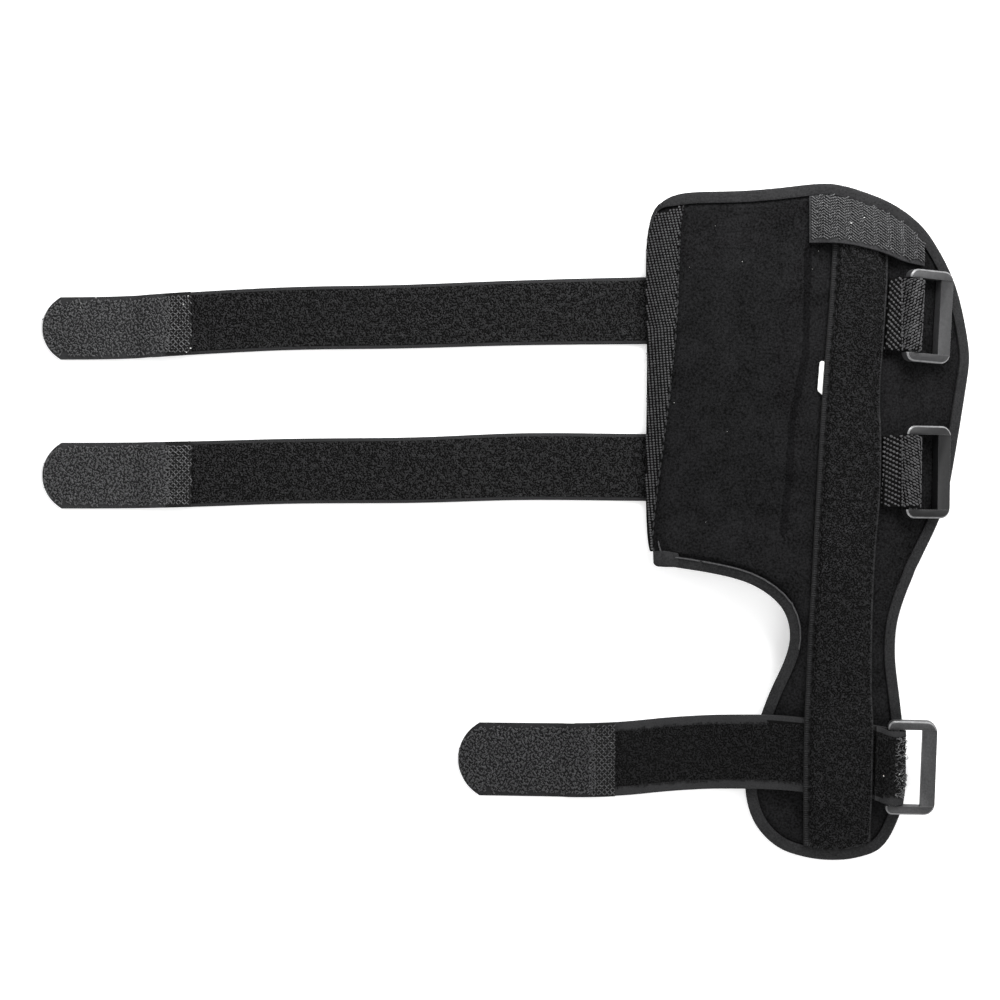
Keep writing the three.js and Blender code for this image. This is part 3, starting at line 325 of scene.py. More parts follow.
panel = softened("panel_laminate", "panel", tricot)
binding = softened("binding_fold", "edge_binding", folded_tape, crease_from=60)
tape = softened("left_tape", "edge_tape", tape_ground, round_mm=0.2)
pocket = softened("stay_pocket_strip", "stay_pocket", pile_ground)
flap = softened("pocket_flap_base", "pocket_flap", hook_ground, levels=3, round_mm=0.2)
label = softened("blank_label", "label_tab", label_white, round_mm=0)
upper_strap = softened("upper_strap_tape", "upper_strap", pile_ground)
lower_strap = softened("lower_strap_tape", "lower_strap", pile_ground)
thumb_strap = softened("thumb_strap_tape", "thumb_strap", pile_ground)
upper_tab = softened("upper_hook_tape", "upper_hook_tab", hook_ground, crease_from=20, round_mm=0.2)
lower_tab = softened("lower_hook_tape", "lower_hook_tab", hook_ground, crease_from=20, round_mm=0.2)
# The thumb strap's hook tape is painted darker as shade.
thumb_tab = softened("thumb_hook_tape", "thumb_hook_tab", hook_base_painted_shade, crease_from=20, round_mm=0.2)
upper_loop = softened("upper_ring_webbing", "upper_ring_loop", tape_ground, round_mm=0.2)
lower_loop = softened("lower_ring_webbing", "lower_ring_loop", tape_ground, round_mm=0.2)

for piece, node, slot in (
    (panel, "panel", "laminate"),
    (binding, "edge_binding", "binding"),
    (tape, "edge_tape", "webbing"),
    (pocket, "stay_pocket", "loop"),
    (flap, "pocket_flap", "hook"),
    (label, "label_tab", "label"),
    (upper_strap, "upper_strap", "loop"),
    (lower_strap, "lower_strap", "loop"),
    (thumb_strap, "thumb_strap", "loop"),
    (upper_tab, "upper_hook_tab", "hook"),
    (lower_tab, "lower_hook_tab", "hook"),
    (thumb_tab, "thumb_hook_tab", "hook"),
    (upper_loop, "upper_ring_loop", "webbing"),
    (lower_loop, "lower_ring_loop", "webbing"),
):
    keep(piece, node, "root")

# %% [markdown]
# The rings are injection mouldings. Their edges are rounded by a bevel, so that each one draws a
# thin line of light, as moulded edges do. The edges round the upper face are painted paler, as a highlight.


# %% Moulded rings
HIGHLIGHT_FROM = 0.3
HIGHLIGHT_TO = 0.93


def moulded_ring(name, node, skin):
    """A ring whose rounded edges carry a painted highlight where they slope away from its upper face."""
    body = merged(node)
    mesh = bpy.data.meshes.new(name)
    body.to_mesh(mesh)
    body.free()
    piece = new_piece(name, mesh, skin)
    # The second material is a painted highlight for the sloping edges.
    mesh.materials.append(edge_painted_highlight)
    edges = piece.modifiers.new("edges", "BEVEL")
    edges.width = 0.3 * MM
    edges.segments = 2
    edges.limit_method = "ANGLE"
    edges.angle_limit = math.radians(60)
    plain(piece)
    upward = [face for face in piece.data.polygons if face.normal.z > 0.5]
    facing = max(upward, key=lambda face: face.area).normal.copy()
    for face in piece.data.polygons:
        if HIGHLIGHT_FROM < face.normal.dot(facing) < HIGHLIGHT_TO:
            face.material_index = 1
    piece.data.polygons.foreach_set("use_smooth", [True] * len(piece.data.polygons))
    piece.data.set_sharp_from_angle(angle=math.radians(35))
    keep(piece, node, node)


# The upper ring's lighter skin is a painted reflection of the window.
for name, skin in (("upper", acetal_painted_reflection), ("lower", acetal), ("thumb", grained_acetal)):
    moulded_ring(f"{name}_ring_moulding", f"{name}_ring", skin)

# %% [markdown]
# Hooks, loops, yarns and stitches all repeat over a surface. Their places are found by rays that fall
# on the finished cloth, and one Geometry Nodes tree puts a small form on each place, turned to the
# surface. The forms are a bead for yarns, stitches and loops of pile, and a bent thread for a hook.


# %% Places on a surface
RAY_START = 0.2
EDGE_SAMPLES = 1.5 * MM


def surface_of(*pieces):
    """What a ray can meet: the faces of one or more pieces."""
    corners = []
    faces = []
    for piece in pieces:
        first = len(corners)
        corners += [v.co for v in piece.data.vertices]
        faces += [[first + i for i in p.vertices] for p in piece.data.polygons]
    return BVHTree.FromPolygons(corners, faces)


def fall(surface, x, y):
    """Where a ray from above meets the surface, and the way that it faces there."""
    point, facing, _, _ = surface.ray_cast(Vector((x, y, RAY_START)), DOWN)
    return point, facing


def spans(piece, axis, step=EDGE_SAMPLES):
    """Reads a piece's two side edges at any place along an axis."""
    across = 1 - axis
    rows = {}
    for vertex in piece.data.vertices:
        key = round(vertex.co[axis] / step)
        low, high = rows.get(key, (math.inf, -math.inf))
        rows[key] = (min(low, vertex.co[across]), max(high, vertex.co[across]))
    keys = sorted(rows)

    def at(along):
        place = min(max(along / step, keys[0]), keys[-1])
        after = next(k for k in keys if k >= place)
        before = max((k for k in keys if k <= place), default=after)
        share = (place - before) / (after - before) if after > before else 0
        return tuple(rows[before][i] * (1 - share) + rows[after][i] * share for i in (0, 1))

    return at, keys[0] * step, keys[-1] * step


def repeat(name, places, form, material, length, width, height):
    """One mesh with the form on each place: (point, facing, along, size)."""
    mesh = bpy.data.meshes.new(name)
    mesh.from_pydata([p[0] for p in places], [], [])
    for column, key in ((1, "facing"), (2, "along")):
        values = mesh.attributes.new(key, "FLOAT_VECTOR", "POINT")
        values.data.foreach_set("vector", [c for p in places for c in p[column]])
    sizes = mesh.attributes.new("size", "FLOAT", "POINT")
    sizes.data.foreach_set("value", [p[3] for p in places])
    piece = new_piece(name, mesh, material)

    tree = bpy.data.node_groups.new(name, "GeometryNodeTree")
    face = tree.interface
    face.new_socket("Places", in_out="INPUT", socket_type="NodeSocketGeometry")
    for key in ("Length", "Width", "Height"):
        face.new_socket(key, in_out="INPUT", socket_type="NodeSocketFloat")
    face.new_socket("Forms", in_out="OUTPUT", socket_type="NodeSocketGeometry")
    given = add(tree, "NodeGroupInput").outputs
    shape = form(tree, given)

    def read(key, kind):
        source = add(tree, "GeometryNodeInputNamedAttribute", {"data_type": kind}, {"Name": key})
        return source.outputs["Attribute"]

    stand = add(
        tree,
        "FunctionNodeAlignRotationToVector",
        {"axis": "Z"},
        links={"Vector": read("facing", "FLOAT_VECTOR")},
    )
    turn = add(
        tree,
        "FunctionNodeAlignRotationToVector",
        {"axis": "X", "pivot_axis": "Z"},
        links={"Rotation": stand.outputs[0], "Vector": read("along", "FLOAT_VECTOR")},
    )
    put = add(
        tree,
        "GeometryNodeInstanceOnPoints",
        links={
            "Points": given["Places"],
            "Instance": shape,
            "Rotation": turn.outputs[0],
            "Scale": read("size", "FLOAT"),
        },
    )
    real = add(tree, "GeometryNodeRealizeInstances", links={0: put.outputs[0]})
    dressed = add(
        tree,
        "GeometryNodeSetMaterial",
        values={"Material": material},
        links={0: real.outputs[0]},
    )
    add(tree, "NodeGroupOutput", links={0: dressed.outputs[0]})

    maker = piece.modifiers.new("forms", "NODES")
    maker.node_group = tree
    sizes_of = {"Length": length, "Width": width, "Height": height}
    for socket in face.items_tree:
        if socket.name in sizes_of:
            maker[socket.identifier] = sizes_of[socket.name] * MM
    plain(piece)
    print(name, len(places), "forms", len(piece.data.polygons), "faces")
    return piece


def bead(tree, given):
    """A rounded bar that lies along X: a yarn float, a stitch or a loop of pile."""
    ball = add(tree, "GeometryNodeMeshUVSphere", values={"Segments": 5, "Rings": 3, "Radius": 0.5})
    size = add(
        tree,
        "ShaderNodeCombineXYZ",
        links={"X": given["Length"], "Y": given["Width"], "Z": given["Height"]},
    )
    shaped = add(tree, "GeometryNodeTransform", links={"Geometry": ball.outputs[0], "Scale": size.outputs[0]})
    return shaped.outputs[0]


def hook(tree, given):
    """A thread that rises and bends over towards X."""
    high = add(tree, "ShaderNodeMath", {"operation": "MULTIPLY"}, {1: 1.9}, {0: given["Height"]})
    tip = add(tree, "ShaderNodeMath", {"operation": "MULTIPLY"}, {1: 0.35}, {0: given["Height"]})
    middle = add(tree, "ShaderNodeCombineXYZ", links={"Z": high.outputs[0]})
    end = add(tree, "ShaderNodeCombineXYZ", links={"X": given["Length"], "Z": tip.outputs[0]})
    bend = add(
        tree,
        "GeometryNodeCurveQuadraticBezier",
        values={"Resolution": 4, "Start": (0, 0, 0)},
        links={"Middle": middle.outputs[0], "End": end.outputs[0]},
    )
    half = add(tree, "ShaderNodeMath", {"operation": "MULTIPLY"}, {1: 0.5}, {0: given["Width"]})
    section = add(
        tree,
        "GeometryNodeCurvePrimitiveCircle",
        values={"Resolution": 4},
        links={"Radius": half.outputs[0]},
    )
    body = add(
        tree,
        "GeometryNodeCurveToMesh",
        values={"Fill Caps": True},
        links={"Curve": bend.outputs[0], "Profile Curve": section.outputs["Curve"]},
    )
    return body.outputs[0]


# %% [markdown]
# The blank tab is folded narrow. Its upper corners are round, and its lower end is cut at a slant.

# %% The blank tab
TAB_WIDTH = 1.75 * MM
TAB_ASIDE = 0.35 * MM
TAB_SLANT = 1.6 * MM
TAB_ROUND = 0.5 * MM
CUT_BELOW = 0.2
ROUND_ABOVE = 0.9


def trimmed_label(piece):
    """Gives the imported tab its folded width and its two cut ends."""
    ys = [v.co.y for v in piece.data.vertices]
    foot = min(ys)
    length = max(ys) - foot
    at = spans(piece, 1)[0]
    for vertex in piece.data.vertices:
        low, high = at(vertex.co.y)
        share = (vertex.co.x - low) / max(high - low, 0.1 * MM)
        up = (vertex.co.y - foot) / length
        vertex.co.x = high + TAB_ASIDE - TAB_WIDTH * (1 - min(max(share, 0.0), 1.0))
        if up < CUT_BELOW:
            vertex.co.y += (1 - share) * TAB_SLANT * (1 - up / CUT_BELOW)
        if up > ROUND_ABOVE:
            vertex.co.y -= abs(2 * share - 1) ** 2 * TAB_ROUND


trimmed_label(label)

# %% [markdown]
# Everything on this cloth repeats: yarns, hooks, loops of pile and stitches. One function lays rows of
# a form over a surface. The rows have an angle and a pitch, each form turns as its place asks, and a
# little chance keeps them from being perfect.


# %% Rows of forms over a surface
STEEPEST_ROW = 0.15
CLUMP_STRENGTH = 0.75


def rows(name, piece, form, material, size, pitch, slot, seed, **how):
    """Rows of a form over the top of a piece: pitch is along and between the rows, in mm."""
    chance = random.Random(seed)
    surface = surface_of(piece)
    xs = [v.co.x for v in piece.data.vertices]
    ys = [v.co.y for v in piece.data.vertices]
    middle = Vector((0.5 * (min(xs) + max(xs)), 0.5 * (min(ys) + max(ys)), 0))
    half = 0.5 * math.hypot(max(xs) - min(xs), max(ys) - min(ys)) / MM
    angle = how.get("angle", 0.0)
    turn = how.get("turn", lambda x, y, row: angle)
    where = how.get("where", lambda x, y: True)
    drift = how.get("drift", lambda x, y: (0.0, 0.0))
    stagger = how.get("stagger", 0.5)
    jitter = how.get("jitter", 0.0) * MM
    lean = how.get("lean", 0.0)
    sway = how.get("sway", 0.1)
    spread = how.get("spread", 0.1)
    lift = how.get("lift", 0.0)
    clump = how.get("clump")
    start = how.get("start", (0, 0))
    rib = Vector((math.cos(angle), math.sin(angle), 0)) * MM
    step = Vector((-rib.y, rib.x, 0))
    places = []
    for j in range(int(-half / pitch[1]), int(half / pitch[1]) + 1):
        for i in range(int(-half / pitch[0]), int(half / pitch[0]) + 1):
            spot = middle + rib * ((i + stagger * (j % 2) + start[0]) * pitch[0])
            spot += step * ((j + start[1]) * pitch[1])
            aside = drift(spot.x, spot.y)
            x = spot.x + aside[0] + chance.uniform(-jitter, jitter)
            y = spot.y + aside[1] + chance.uniform(-jitter, jitter)
            if not where(x, y):
                continue
            point, facing = fall(surface, x, y)
            if point is None or facing.z < STEEPEST_ROW:
                continue
            tilt = Vector((chance.gauss(0, lean), chance.gauss(0, lean), 0))
            way = turn(x, y, j) + chance.gauss(0, sway)
            grow = 1 + chance.uniform(-spread, spread)
            if clump:
                grow += CLUMP_STRENGTH * noise.noise(Vector((x, y, 0)) / (clump * MM))
            lifted = point + facing * lift * MM
            stand = (facing + tilt).normalized()
            places.append((lifted, stand, (math.cos(way), math.sin(way), 0), grow))
    made = repeat(name, places, form, material, *size)
    keep(made, None, "root")


def between(piece, axis, edges_mm, ends_mm=(0.4, 0.4)):
    """Whether a place lies on a strap, a given distance inside its edges and ends."""
    at, first, last = spans(piece, axis)

    def inside(x, y):
        along, across = (x, y) if axis == 0 else (y, x)
        low, high = at(along)
        on_length = first + ends_mm[0] * MM < along < last - ends_mm[1] * MM
        return on_length and low + edges_mm[0] * MM < across < high - edges_mm[1] * MM

    return inside


# %% [markdown]
# Loop tape carries a dense pile between two smooth woven edges. The loops lie in all directions and
# stand in loose clumps, which makes the mottled black of the photograph.


# %% Loop pile on the straps and the pocket
def pile(name, piece, inside, seed, loops=loop_nylon):
    """Loops that lie in all directions, in clumps."""
    wild = random.Random(seed + 100)
    rows(
        name,
        piece,
        bead,
        loops,
        (1.0, 0.5, 0.55),
        (0.7, 0.66),
        "loop",
        seed,
        turn=lambda x, y, row: wild.uniform(0, math.tau),
        where=inside,
        jitter=0.3,
        lean=0.35,
        spread=0.25,
        clump=1.7,
        lift=0.08,
    )


def smooth_edges(piece, inside, material=selvage_nylon):
    """Gives the smooth woven finish to the faces outside the pile."""
    piece.data.materials.append(material)
    for face in piece.data.polygons:
        if not inside(face.center.x, face.center.y):
            face.material_index = 1


# The panel's middle line, and where the two wrist straps go in under its left edge
PANEL_MIDDLE = 112.5 * MM
UNDER_PANEL = PANEL_MIDDLE - 61 * MM
upper_inside = between(upper_strap, 0, (1.3, 1.3))
lower_inside = between(lower_strap, 0, (1.3, 1.3))
thumb_inside = between(thumb_strap, 0, (2.5, 2.5), (0.4, 0.0))
pocket_inside = between(pocket, 1, (2.1, 0.7), (0.4, 1.2))
pile("upper_strap_pile", upper_strap, lambda x, y: x < UNDER_PANEL and upper_inside(x, y), 11)
pile("lower_strap_pile", lower_strap, lambda x, y: x < UNDER_PANEL and lower_inside(x, y), 12)
# The thumb strap's pile is painted darker as shade.
pile("thumb_strap_pile", thumb_strap, thumb_inside, 13, loops_painted_shade)
pile("stay_pocket_pile", pocket, pocket_inside, 14, worn_loops)
smooth_edges(upper_strap, upper_inside)
smooth_edges(lower_strap, lower_inside)
smooth_edges(thumb_strap, thumb_inside)
smooth_edges(pocket, pocket_inside, worn_selvage)

# %% [markdown]
# Hook tape has stiff bent threads on a flat ground, with a bare band along its edges. On the strap ends
# each thread bends along one of four diagonals. The last stretch, next to the loop tape, is pressed in
# crossing diagonals where the two are welded. The patch over the pocket has its hooks in a herringbone.

# %% Hooks on the strap ends and the patch
WELD_LENGTH = 9.5 * MM
WELD_GROUND_IN = 1.0 * MM
HOOKS_INTO_WELD = 2.2 * MM
HOOK_WAYS = (48, -48, 132, -132)


def tab_hooks(name, piece, seed, nylon=hook_nylon):
    """The hooks of a strap end, and the pressed diagonals of its weld."""
    weld = spans(piece, 0)[2] - WELD_LENGTH
    piece.data.materials.append(weld_ground)
    for face in piece.data.polygons:
        if face.center.x > weld + WELD_GROUND_IN:
            face.material_index = 1
    on_rows = between(piece, 0, (1.3, 1.3), (0.3, 0))
    wild = random.Random(seed + 50)
    on_weld = between(piece, 0, (0.9, 0.9), (0.8, 0.3))
    rows(
        f"{name}_rows",
        piece,
        hook,
        nylon,
        (0.6, 0.36, 0.45),
        (0.74, 0.7),
        "hook",
        seed,
        turn=lambda x, y, row: math.radians(wild.choice(HOOK_WAYS)),
        where=lambda x, y: x < weld + HOOKS_INTO_WELD and on_rows(x, y),
        jitter=0.3,
        lean=0.25,
        sway=0.3,
        spread=0.3,
    )
    for way, start in ((45, (0.5, 0.0)), (-45, (0.0, 0.5))):
        rows(
            f"{name}_weld_{'up' if way > 0 else 'down'}",
            piece,
            bead,
            nylon,
            (1.4, 0.4, 0.5),
            (1.3, 1.3),
            "hook",
            seed + way,
            angle=math.radians(45),
            turn=lambda x, y, row: math.radians(way),
            where=lambda x, y: x >= weld and on_weld(x, y),
            stagger=0,
            start=start,
            jitter=0.14,
            sway=0.15,
            spread=0.3,
            lift=0.15,
        )


tab_hooks("upper_hooks", upper_tab, 121)
tab_hooks("lower_hooks", lower_tab, 223)
# The thumb strap's hooks are painted darker as shade.
tab_hooks("thumb_hooks", thumb_tab, 325, hooks_nylon_painted_shade)

HERRINGBONE_WAVE = 4.6 * MM
FALLING_PART = 0.62
FALLING_WAY = -38
CLIMBING_WAY = 48


def herringbone(x, y):
    """How far a row is moved at a place: it falls slowly to the right and climbs back fast."""
    share = (x / HERRINGBONE_WAVE) % 1
    falling = 1 - share / FALLING_PART
    climbing = (share - FALLING_PART) / (1 - FALLING_PART)
    return 0.0, 0.5 * HERRINGBONE_WAVE * (falling if share < FALLING_PART else climbing)


def herringbone_turn(x, y, row):
    """Which way a hook bends: along its own part of the wave."""
    falls = (x / HERRINGBONE_WAVE) % 1 < FALLING_PART
    return math.radians(FALLING_WAY if falls else CLIMBING_WAY)


rows(
    "flap_hooks",
    flap,
    hook,
    patch_nylon,
    (0.95, 0.4, 0.42),
    (0.78, 0.93),
    "hook",
    27,
    turn=herringbone_turn,
    drift=herringbone,
    where=between(flap, 0, (1.5, 0.2), (0.3, 0.3)),
    stagger=0,
    jitter=0.05,
    lean=0.06,
    spread=0.14,
)

# %% [markdown]
# The left edge and the ring loops are woven webbing: each raised yarn float is a bead, in ribs that
# lean. On the ring loops the single layer next to the pocket is open and coarse, and the doubled part
# round the bar is denser.

# %% Yarns of the woven tapes
TAPE_STRAIGHT_TO = 66 * MM
TAPE_WAY = 94
TAPE_LEAN = 9


def tape_lean(x, y):
    """The ribs lean more over the upper part of the tape."""
    return -math.tan(math.radians(TAPE_LEAN)) * max(0.0, y - TAPE_STRAIGHT_TO), 0.0


def tape_turn(x, y, row):
    """Which way a yarn float of the tape lies."""
    return math.radians(TAPE_WAY + TAPE_LEAN if y > TAPE_STRAIGHT_TO else TAPE_WAY)


rows(
    "left_tape_yarns",
    tape,
    bead,
    nylon_yarn,
    (0.86, 1.0, 0.5),
    (0.89, 1.08),
    "webbing",
    31,
    angle=math.radians(TAPE_WAY),
    turn=tape_turn,
    drift=tape_lean,
    where=between(tape, 1, (0.1, 0.75), (0.1, 0.1)),
    stagger=0,
    jitter=0.04,
    spread=0.12,
)

# Where the webbing lies double, and for each loop the lean of its two weaves and its seed
DOUBLED_FROM = PANEL_MIDDLE + 20.1 * MM
POCKET_MARGIN = 0.5 * MM
WEBBINGS = (
    ("upper", upper_loop, -46, 28, 32),
    ("lower", lower_loop, -25, -30, 34),
)
pocket_at = spans(pocket, 1)[0]


def on_single(x, y):
    """The open stretch of webbing between the pocket and the doubled part."""
    return pocket_at(y)[1] + POCKET_MARGIN < x < DOUBLED_FROM


for name, loop, slant, rise, seed in WEBBINGS:
    inside = between(loop, 1, (0.1, 0.1), (0.05, 0.05))
    rows(
        f"{name}_webbing_single",
        loop,
        bead,
        nylon_yarn,
        (1.28, 0.85, 0.65),
        (1.2, 1.42),
        "webbing",
        seed,
        angle=math.radians(slant),
        where=lambda x, y: on_single(x, y) and inside(x, y),
        spread=0.18,
    )
    rows(
        f"{name}_webbing_doubled",
        loop,
        bead,
        nylon_yarn,
        (1.6, 0.78, 0.42),
        (1.3, 0.86),
        "webbing",
        seed + 1,
        angle=math.radians(rise),
        where=lambda x, y: x >= DOUBLED_FROM and inside(x, y),
        jitter=0.08,
        sway=0.15,
        spread=0.25,
    )

# %% [markdown]
# Stitches and ridges follow the edges of the cloth, so these edges are first read as lines. The panel's
# rim is where its upper face meets its upright side, and a strap's edges come from its outline.


# %% Edges of the cloth as lines
UPRIGHT_BELOW = 0.5
LEVEL_ABOVE = 0.6
FOLDED_BELOW = 0.93
STEEPEST_STITCH = 0.3


def rim_of(node):
    """The ordered upper rim of a packed slab."""
    body = merged(node)
    body.normal_update()
    links = {}
    for edge in body.edges:
        if len(edge.link_faces) != 2:
            continue
        flat = sorted(abs(f.normal.z) for f in edge.link_faces)
        upper = max(f.normal.z for f in edge.link_faces)
        if flat[0] < UPRIGHT_BELOW and upper > LEVEL_ABOVE:
            a, b = edge.verts
            links.setdefault(a.index, []).append(b.index)
            links.setdefault(b.index, []).append(a.index)
    body.verts.ensure_lookup_table()
    start = min(links, key=lambda i: body.verts[i].co.y)
    order = [start]
    while True:
        ahead = [i for i in links[order[-1]] if i not in order[-2:] and i != start]
        if not ahead or len(order) > len(links):
            break
        order.append(ahead[0])
    points = [body.verts[i].co.copy() for i in order]
    body.free()
    return points


def area_sign(points):
    """1 for a line that runs anticlockwise, or else -1."""
    total = sum(a.x * b.y - a.y * b.x for a, b in zip(points, points[1:] + points[:1]))
    return 1 if total > 0 else -1


def moved_in(points, distance):
    """The closed line moved into its inside, without the spots that a tight bend would fold back."""
    sign = area_sign(points)
    moved = []
    for i, point in enumerate(points):
        ahead = points[(i + 1) % len(points)] - points[i - 1]
        side = Vector((-ahead.y, ahead.x, 0)).normalized() * sign
        spot = point + side * distance
        if min((spot - other).xy.length for other in points) > FOLDED_BELOW * distance:
            moved.append(spot)
    return moved


def paced(points, pitch, closed=False):
    """Places a steady distance apart along a line, with the way on."""
    line = points + points[:1] if closed else points
    places = []
    left = 0.0
    for a, b in zip(line, line[1:]):
        length = (b - a).length
        while left < length:
            places.append((a.lerp(b, left / length), (b - a).normalized()))
            left += pitch
        left -= length
    return places


def stitches(name, line, surface, pitch, size, material, slot, **how):
    """A row of beads on a surface along a line, where the surface is there."""
    chance = random.Random(len(line))
    where = how.get("where", lambda x, y: True)
    lift = how.get("lift", 0.0) * MM
    uneven = how.get("uneven", 0.15)
    places = []
    for spot, ahead in paced(line, pitch * MM, how.get("closed", False)):
        point, facing = fall(surface, spot.x, spot.y)
        if point is None or facing.z < STEEPEST_STITCH or not where(spot.x, spot.y):
            continue
        way = Vector((-ahead.y, ahead.x, 0)) if how.get("crosswise") else ahead
        places.append((point + facing * lift, facing, way, 1 + chance.uniform(-uneven, uneven)))
    made = repeat(name, places, bead, material, *size)
    keep(made, None, "root")


def beside(piece, axis, side, inwards_mm, count=80):
    """A line along one side of a strap, a given distance inside its edge."""
    at, first, last = spans(piece, axis)
    line = []
    for i in range(count + 1):
        along = first + (last - first) * i / count
        across = at(along)[side] + inwards_mm * MM * (1 if side == 0 else -1)
        line.append(Vector((across, along, 0)) if axis == 1 else Vector((along, across, 0)))
    return line


# %% [markdown]
# A ridge at the notch and a row of stitches follow the inner side of the binding. The pocket has ribs
# and stitch holes along its left edge and a ridge along its right one, the woven tape has stitches and
# nicks, and each ring's webbing has a seam and a firm edge.

# %% Ridges and stitches
rim = rim_of("panel")
binding_surface = surface_of(binding)
pocket_surface = surface_of(pocket)
tape_surface = surface_of(tape)
print("rim", len(rim), "points")

# How far inside the panel's rim the ridge and the stitches run, and where the notch lies
RIDGE_IN = 2.45 * MM
SEAM_IN = 3.0 * MM
NOTCH_RIGHT = 102 * MM
NOTCH_LOW = -42 * MM
NOTCH_HIGH = -6 * MM
SEAM_MARGIN = 0.3 * MM


def on_notch(x, y):
    """The binding's pulled-up stretch, from its cut end round to the neck."""
    return x < NOTCH_RIGHT and NOTCH_LOW < y < NOTCH_HIGH


# The ridge's lighter colour is a painted highlight.
stitches(
    "binding_ridge",
    moved_in(rim, RIDGE_IN),
    surface_of(binding, panel),
    0.8,
    (1.9, 0.6, 0.8),
    ridge_painted_highlight,
    "binding",
    closed=True,
    where=on_notch,
    uneven=0.1,
    lift=0.15,
)
stitches(
    "binding_seam",
    moved_in(rim, SEAM_IN),
    binding_surface,
    2.9,
    (1.1, 0.3, 0.2),
    thread,
    "binding",
    closed=True,
)
stitches(
    "pocket_ribs",
    beside(pocket, 1, 0, 0.95),
    pocket_surface,
    0.75,
    (1.7, 0.5, 0.34),
    selvage_nylon,
    "loop",
    crosswise=True,
    uneven=0.3,
)
stitches(
    "pocket_right_ridge",
    beside(pocket, 1, 1, 0.45),
    pocket_surface,
    0.95,
    (1.1, 0.6, 0.4),
    selvage_nylon,
    "loop",
    uneven=0.5,
)
stitches(
    "pocket_seam",
    beside(pocket, 1, 0, 2.1),
    pocket_surface,
    4.0,
    (1.3, 0.9, 0.7),
    thread,
    "loop",
    lift=0.4,
)
stitches(
    "tape_edge",
    beside(tape, 1, 1, 0.45),
    tape_surface,
    2.9,
    (2.8, 0.8, 0.3),
    selvage_nylon,
    "webbing",
)
stitches(
    "tape_nicks",
    beside(tape, 1, 1, 0.2),
    tape_surface,
    2.9,
    (0.8, 0.7, 0.4),
    thread,
    "webbing",
    lift=0.1,
)
for name, loop in (("upper", upper_loop), ("lower", lower_loop)):
    woven = surface_of(loop)
    first, last = spans(loop, 1)[1:]
    seam = [Vector((DOUBLED_FROM, y, 0)) for y in (first + SEAM_MARGIN, last - SEAM_MARGIN)]
    edge = beside(loop, 1, 1, 0.35)
    stitches(f"{name}_webbing_seam", seam, woven, 1.1, (1.1, 0.7, 0.75), nylon_yarn, "webbing")
    stitches(f"{name}_webbing_edge", edge, woven, 1.6, (1.6, 0.9, 0.6), nylon_yarn, "webbing")

# %% [markdown]
# The binding's last stretch wraps the panel's lower left corner and is cut off there. Its first stretch
# comes up round the upper left corner, thin at its tip. Both outlines are read off the photograph, in
# its pixels.

# %% The two ends of the binding
PIXEL = PICTURE_WIDTH / PICTURE_PIXELS
PICTURE_MIDDLE = 0.5 * PICTURE_PIXELS
SURFACE_HEIGHT = 6 * MM
END_OUTLINE = ((652.6, 551), (664, 550.6), (678, 553), (678, 567), (664, 566.8), (656, 566.2), (653, 563.5))
END_BESIDE = (681, 560)
END_RISE = 0.05 * MM
END_DEPTH = 3.0 * MM
CORNER_LINE = ((660, 206), (656, 210.5), (653, 216), (651, 222), (649.6, 229))
CORNER_BESIDE = (660, 225)
CORNER_SUNK = 0.4 * MM
CORNER_PITCH = 0.4 * MM
CORNER_TAPER = 0.6


def seen_at(across, down):
    """The place on the splint that shows at a pixel of the photograph."""
    scale = PIXEL * (1 - SURFACE_HEIGHT / CAMERA_HEIGHT)
    return CAMERA_X + (across - PICTURE_MIDDLE) * scale, CAMERA_Y - (down - PICTURE_MIDDLE) * scale


def slab(name, outline, top, deep, material):
    """A flat closed slab with a rounded rim."""
    count = len(outline)
    around = [(*seen_at(*spot), z) for z in (top, top - deep) for spot in outline]
    sides = [(i, (i + 1) % count, (i + 1) % count + count, i + count) for i in range(count)]
    mesh = bpy.data.meshes.new(name)
    mesh.from_pydata(around, [], [tuple(range(count)), tuple(reversed(range(count, 2 * count))), *sides])
    body = bmesh.new()
    body.from_mesh(mesh)
    bmesh.ops.recalc_face_normals(body, faces=body.faces)
    body.to_mesh(mesh)
    body.free()
    made = new_piece(name, mesh, material)
    rounding = made.modifiers.new("rim", "BEVEL")
    rounding.width = 0.5 * MM
    rounding.segments = 3
    plain(made)
    made.data.polygons.foreach_set("use_smooth", [True] * len(made.data.polygons))
    made.data.set_sharp_from_angle(angle=math.radians(50))
    keep(made, None, "root")


end_top = fall(binding_surface, *seen_at(*END_BESIDE))[0].z
slab("binding_cut_end", END_OUTLINE, end_top + END_RISE, END_DEPTH, folded_tape)

corner_top = fall(tape_surface, *seen_at(*CORNER_BESIDE))[0].z
corner = [Vector((*seen_at(*spot), corner_top - CORNER_SUNK)) for spot in CORNER_LINE]
paces = paced(corner, CORNER_PITCH)
corner_beads = [
    (spot, UP, ahead, 1 - CORNER_TAPER * i / len(paces)) for i, (spot, ahead) in enumerate(paces)
]
wrap = repeat("binding_corner_wrap", corner_beads, bead, folded_tape, 2.2, 1.9, 1.4)
keep(wrap, None, "root")

# %% [markdown]
# One soft fold runs down the panel, left of the pocket, and its valley is painted darker as shade.

# %% The fold in the panel
FOLD = ((-11, 93), (-12, 57), (-16.7, 33), (-17.4, 17), (-19.4, -2))
fold = [Vector((PANEL_MIDDLE + x * MM, y * MM, 0)) for x, y in FOLD]
stitches(
    "panel_fold",
    fold,
    surface_of(panel),
    1.2,
    (7, 2.6, 0.5),
    crease_painted_shade,
    "laminate",
    uneven=0.3,
)
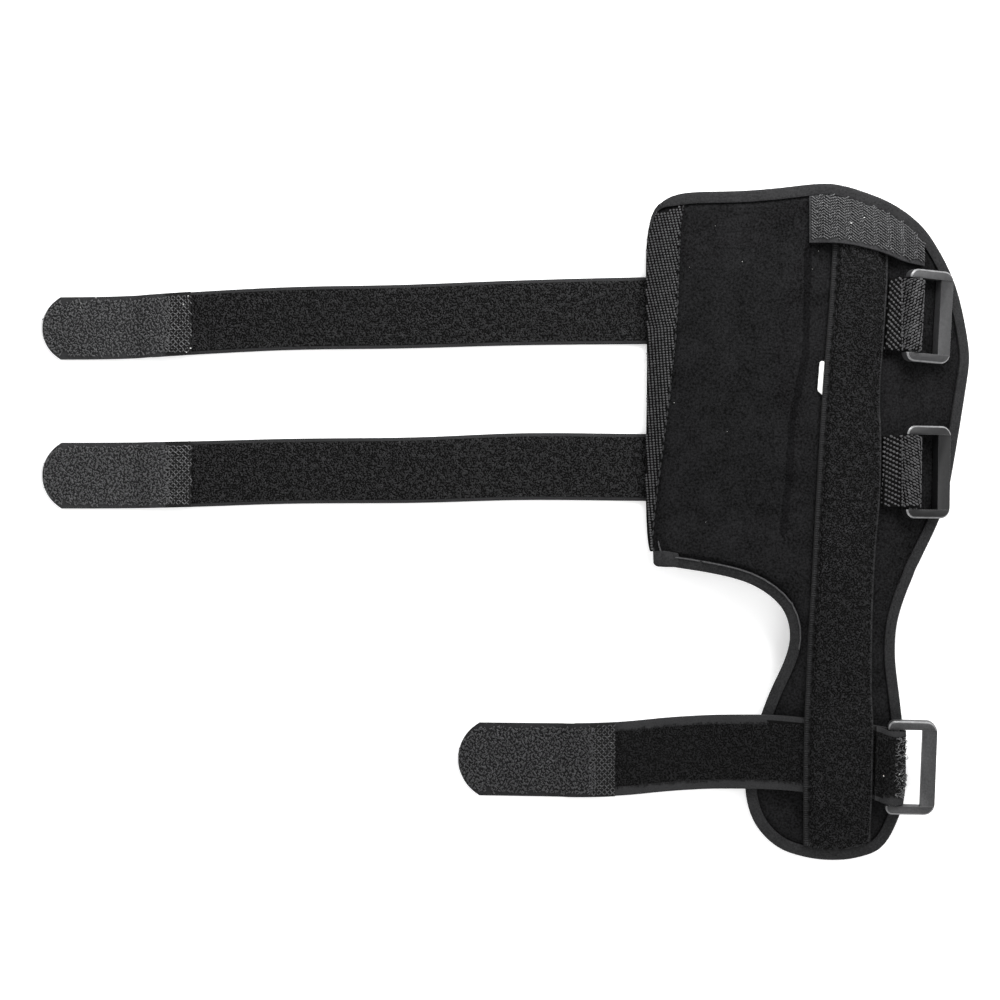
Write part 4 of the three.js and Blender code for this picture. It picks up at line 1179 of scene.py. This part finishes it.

# %% [markdown]
# Small accidents of use: specks of lint on the nap, and the fibres that the thumb strap's fold pulls out
# of the pile, painted pale as glints. Small bright specks on the hooks and the fold are painted glints.
# Their places are read off the photograph, in its pixels.

# %% Lint, painted glints and pulled fibres
SPECK_LIFT = 0.35
FIBRES_LENGTH = 4.5 * MM
FIBRES_SHARE = 0.6
FIBRES_TURN = 1.2


def specks(name, spots, piece, size, material=painted_glints):
    """Small specks at pixels of the photograph, painted bright as glints unless another material is given."""
    surface = surface_of(piece)
    chance = random.Random(len(spots))
    places = []
    for across, down in spots:
        point, facing = fall(surface, *seen_at(across, down))
        if point is not None:
            way = chance.uniform(0, math.tau)
            lifted = point + facing * SPECK_LIFT * MM
            places.append((lifted, facing, (math.cos(way), math.sin(way), 0), chance.uniform(0.8, 1.2)))
    made = repeat(name, places, bead, material, *size)
    keep(made, None, "root")


PANEL_LINT = (
    (674, 403), (726, 432), (705, 522), (714.5, 227), (816, 253), (810, 271), (741, 263), (689, 268),
)
UPPER_TAB_GLINTS = ((79.6, 302.6), (79, 306.7), (94.5, 297), (187.6, 295.6), (183, 304), (186, 352), (190, 348))
PATCH_GLINTS = ((847, 226.5), (860, 221.4))
FOLD_GLINTS = ((900.6, 753.5), (881.7, 774), (896, 772), (899, 779), (901, 787))
specks("panel_lint", PANEL_LINT, panel, (0.45, 0.3, 0.25), pale_lint)
specks("upper_tab_glints", UPPER_TAB_GLINTS, upper_tab, (0.7, 0.4, 0.4))
specks("patch_glints", PATCH_GLINTS, flap, (0.7, 0.4, 0.4))
specks("thumb_fold_glints", FOLD_GLINTS, thumb_strap, (0.6, 0.35, 0.35))

fibres_from = spans(thumb_strap, 0)[2] - FIBRES_LENGTH
on_fold = between(thumb_strap, 0, (2.6, 2.6), (0.4, 0.0))
tangle = random.Random(77)
# The pulled fibres are painted pale as glints.
rows(
    "thumb_fold_fibres",
    thumb_strap,
    hook,
    fibre_painted_glint,
    (1.2, 0.15, 0.5),
    (0.62, 0.6),
    "loop",
    78,
    turn=lambda x, y, row: tangle.uniform(-FIBRES_TURN, FIBRES_TURN),
    where=lambda x, y: x > fibres_from and on_fold(x, y) and tangle.random() < FIBRES_SHARE,
    jitter=0.3,
    lean=0.4,
    spread=0.5,
)
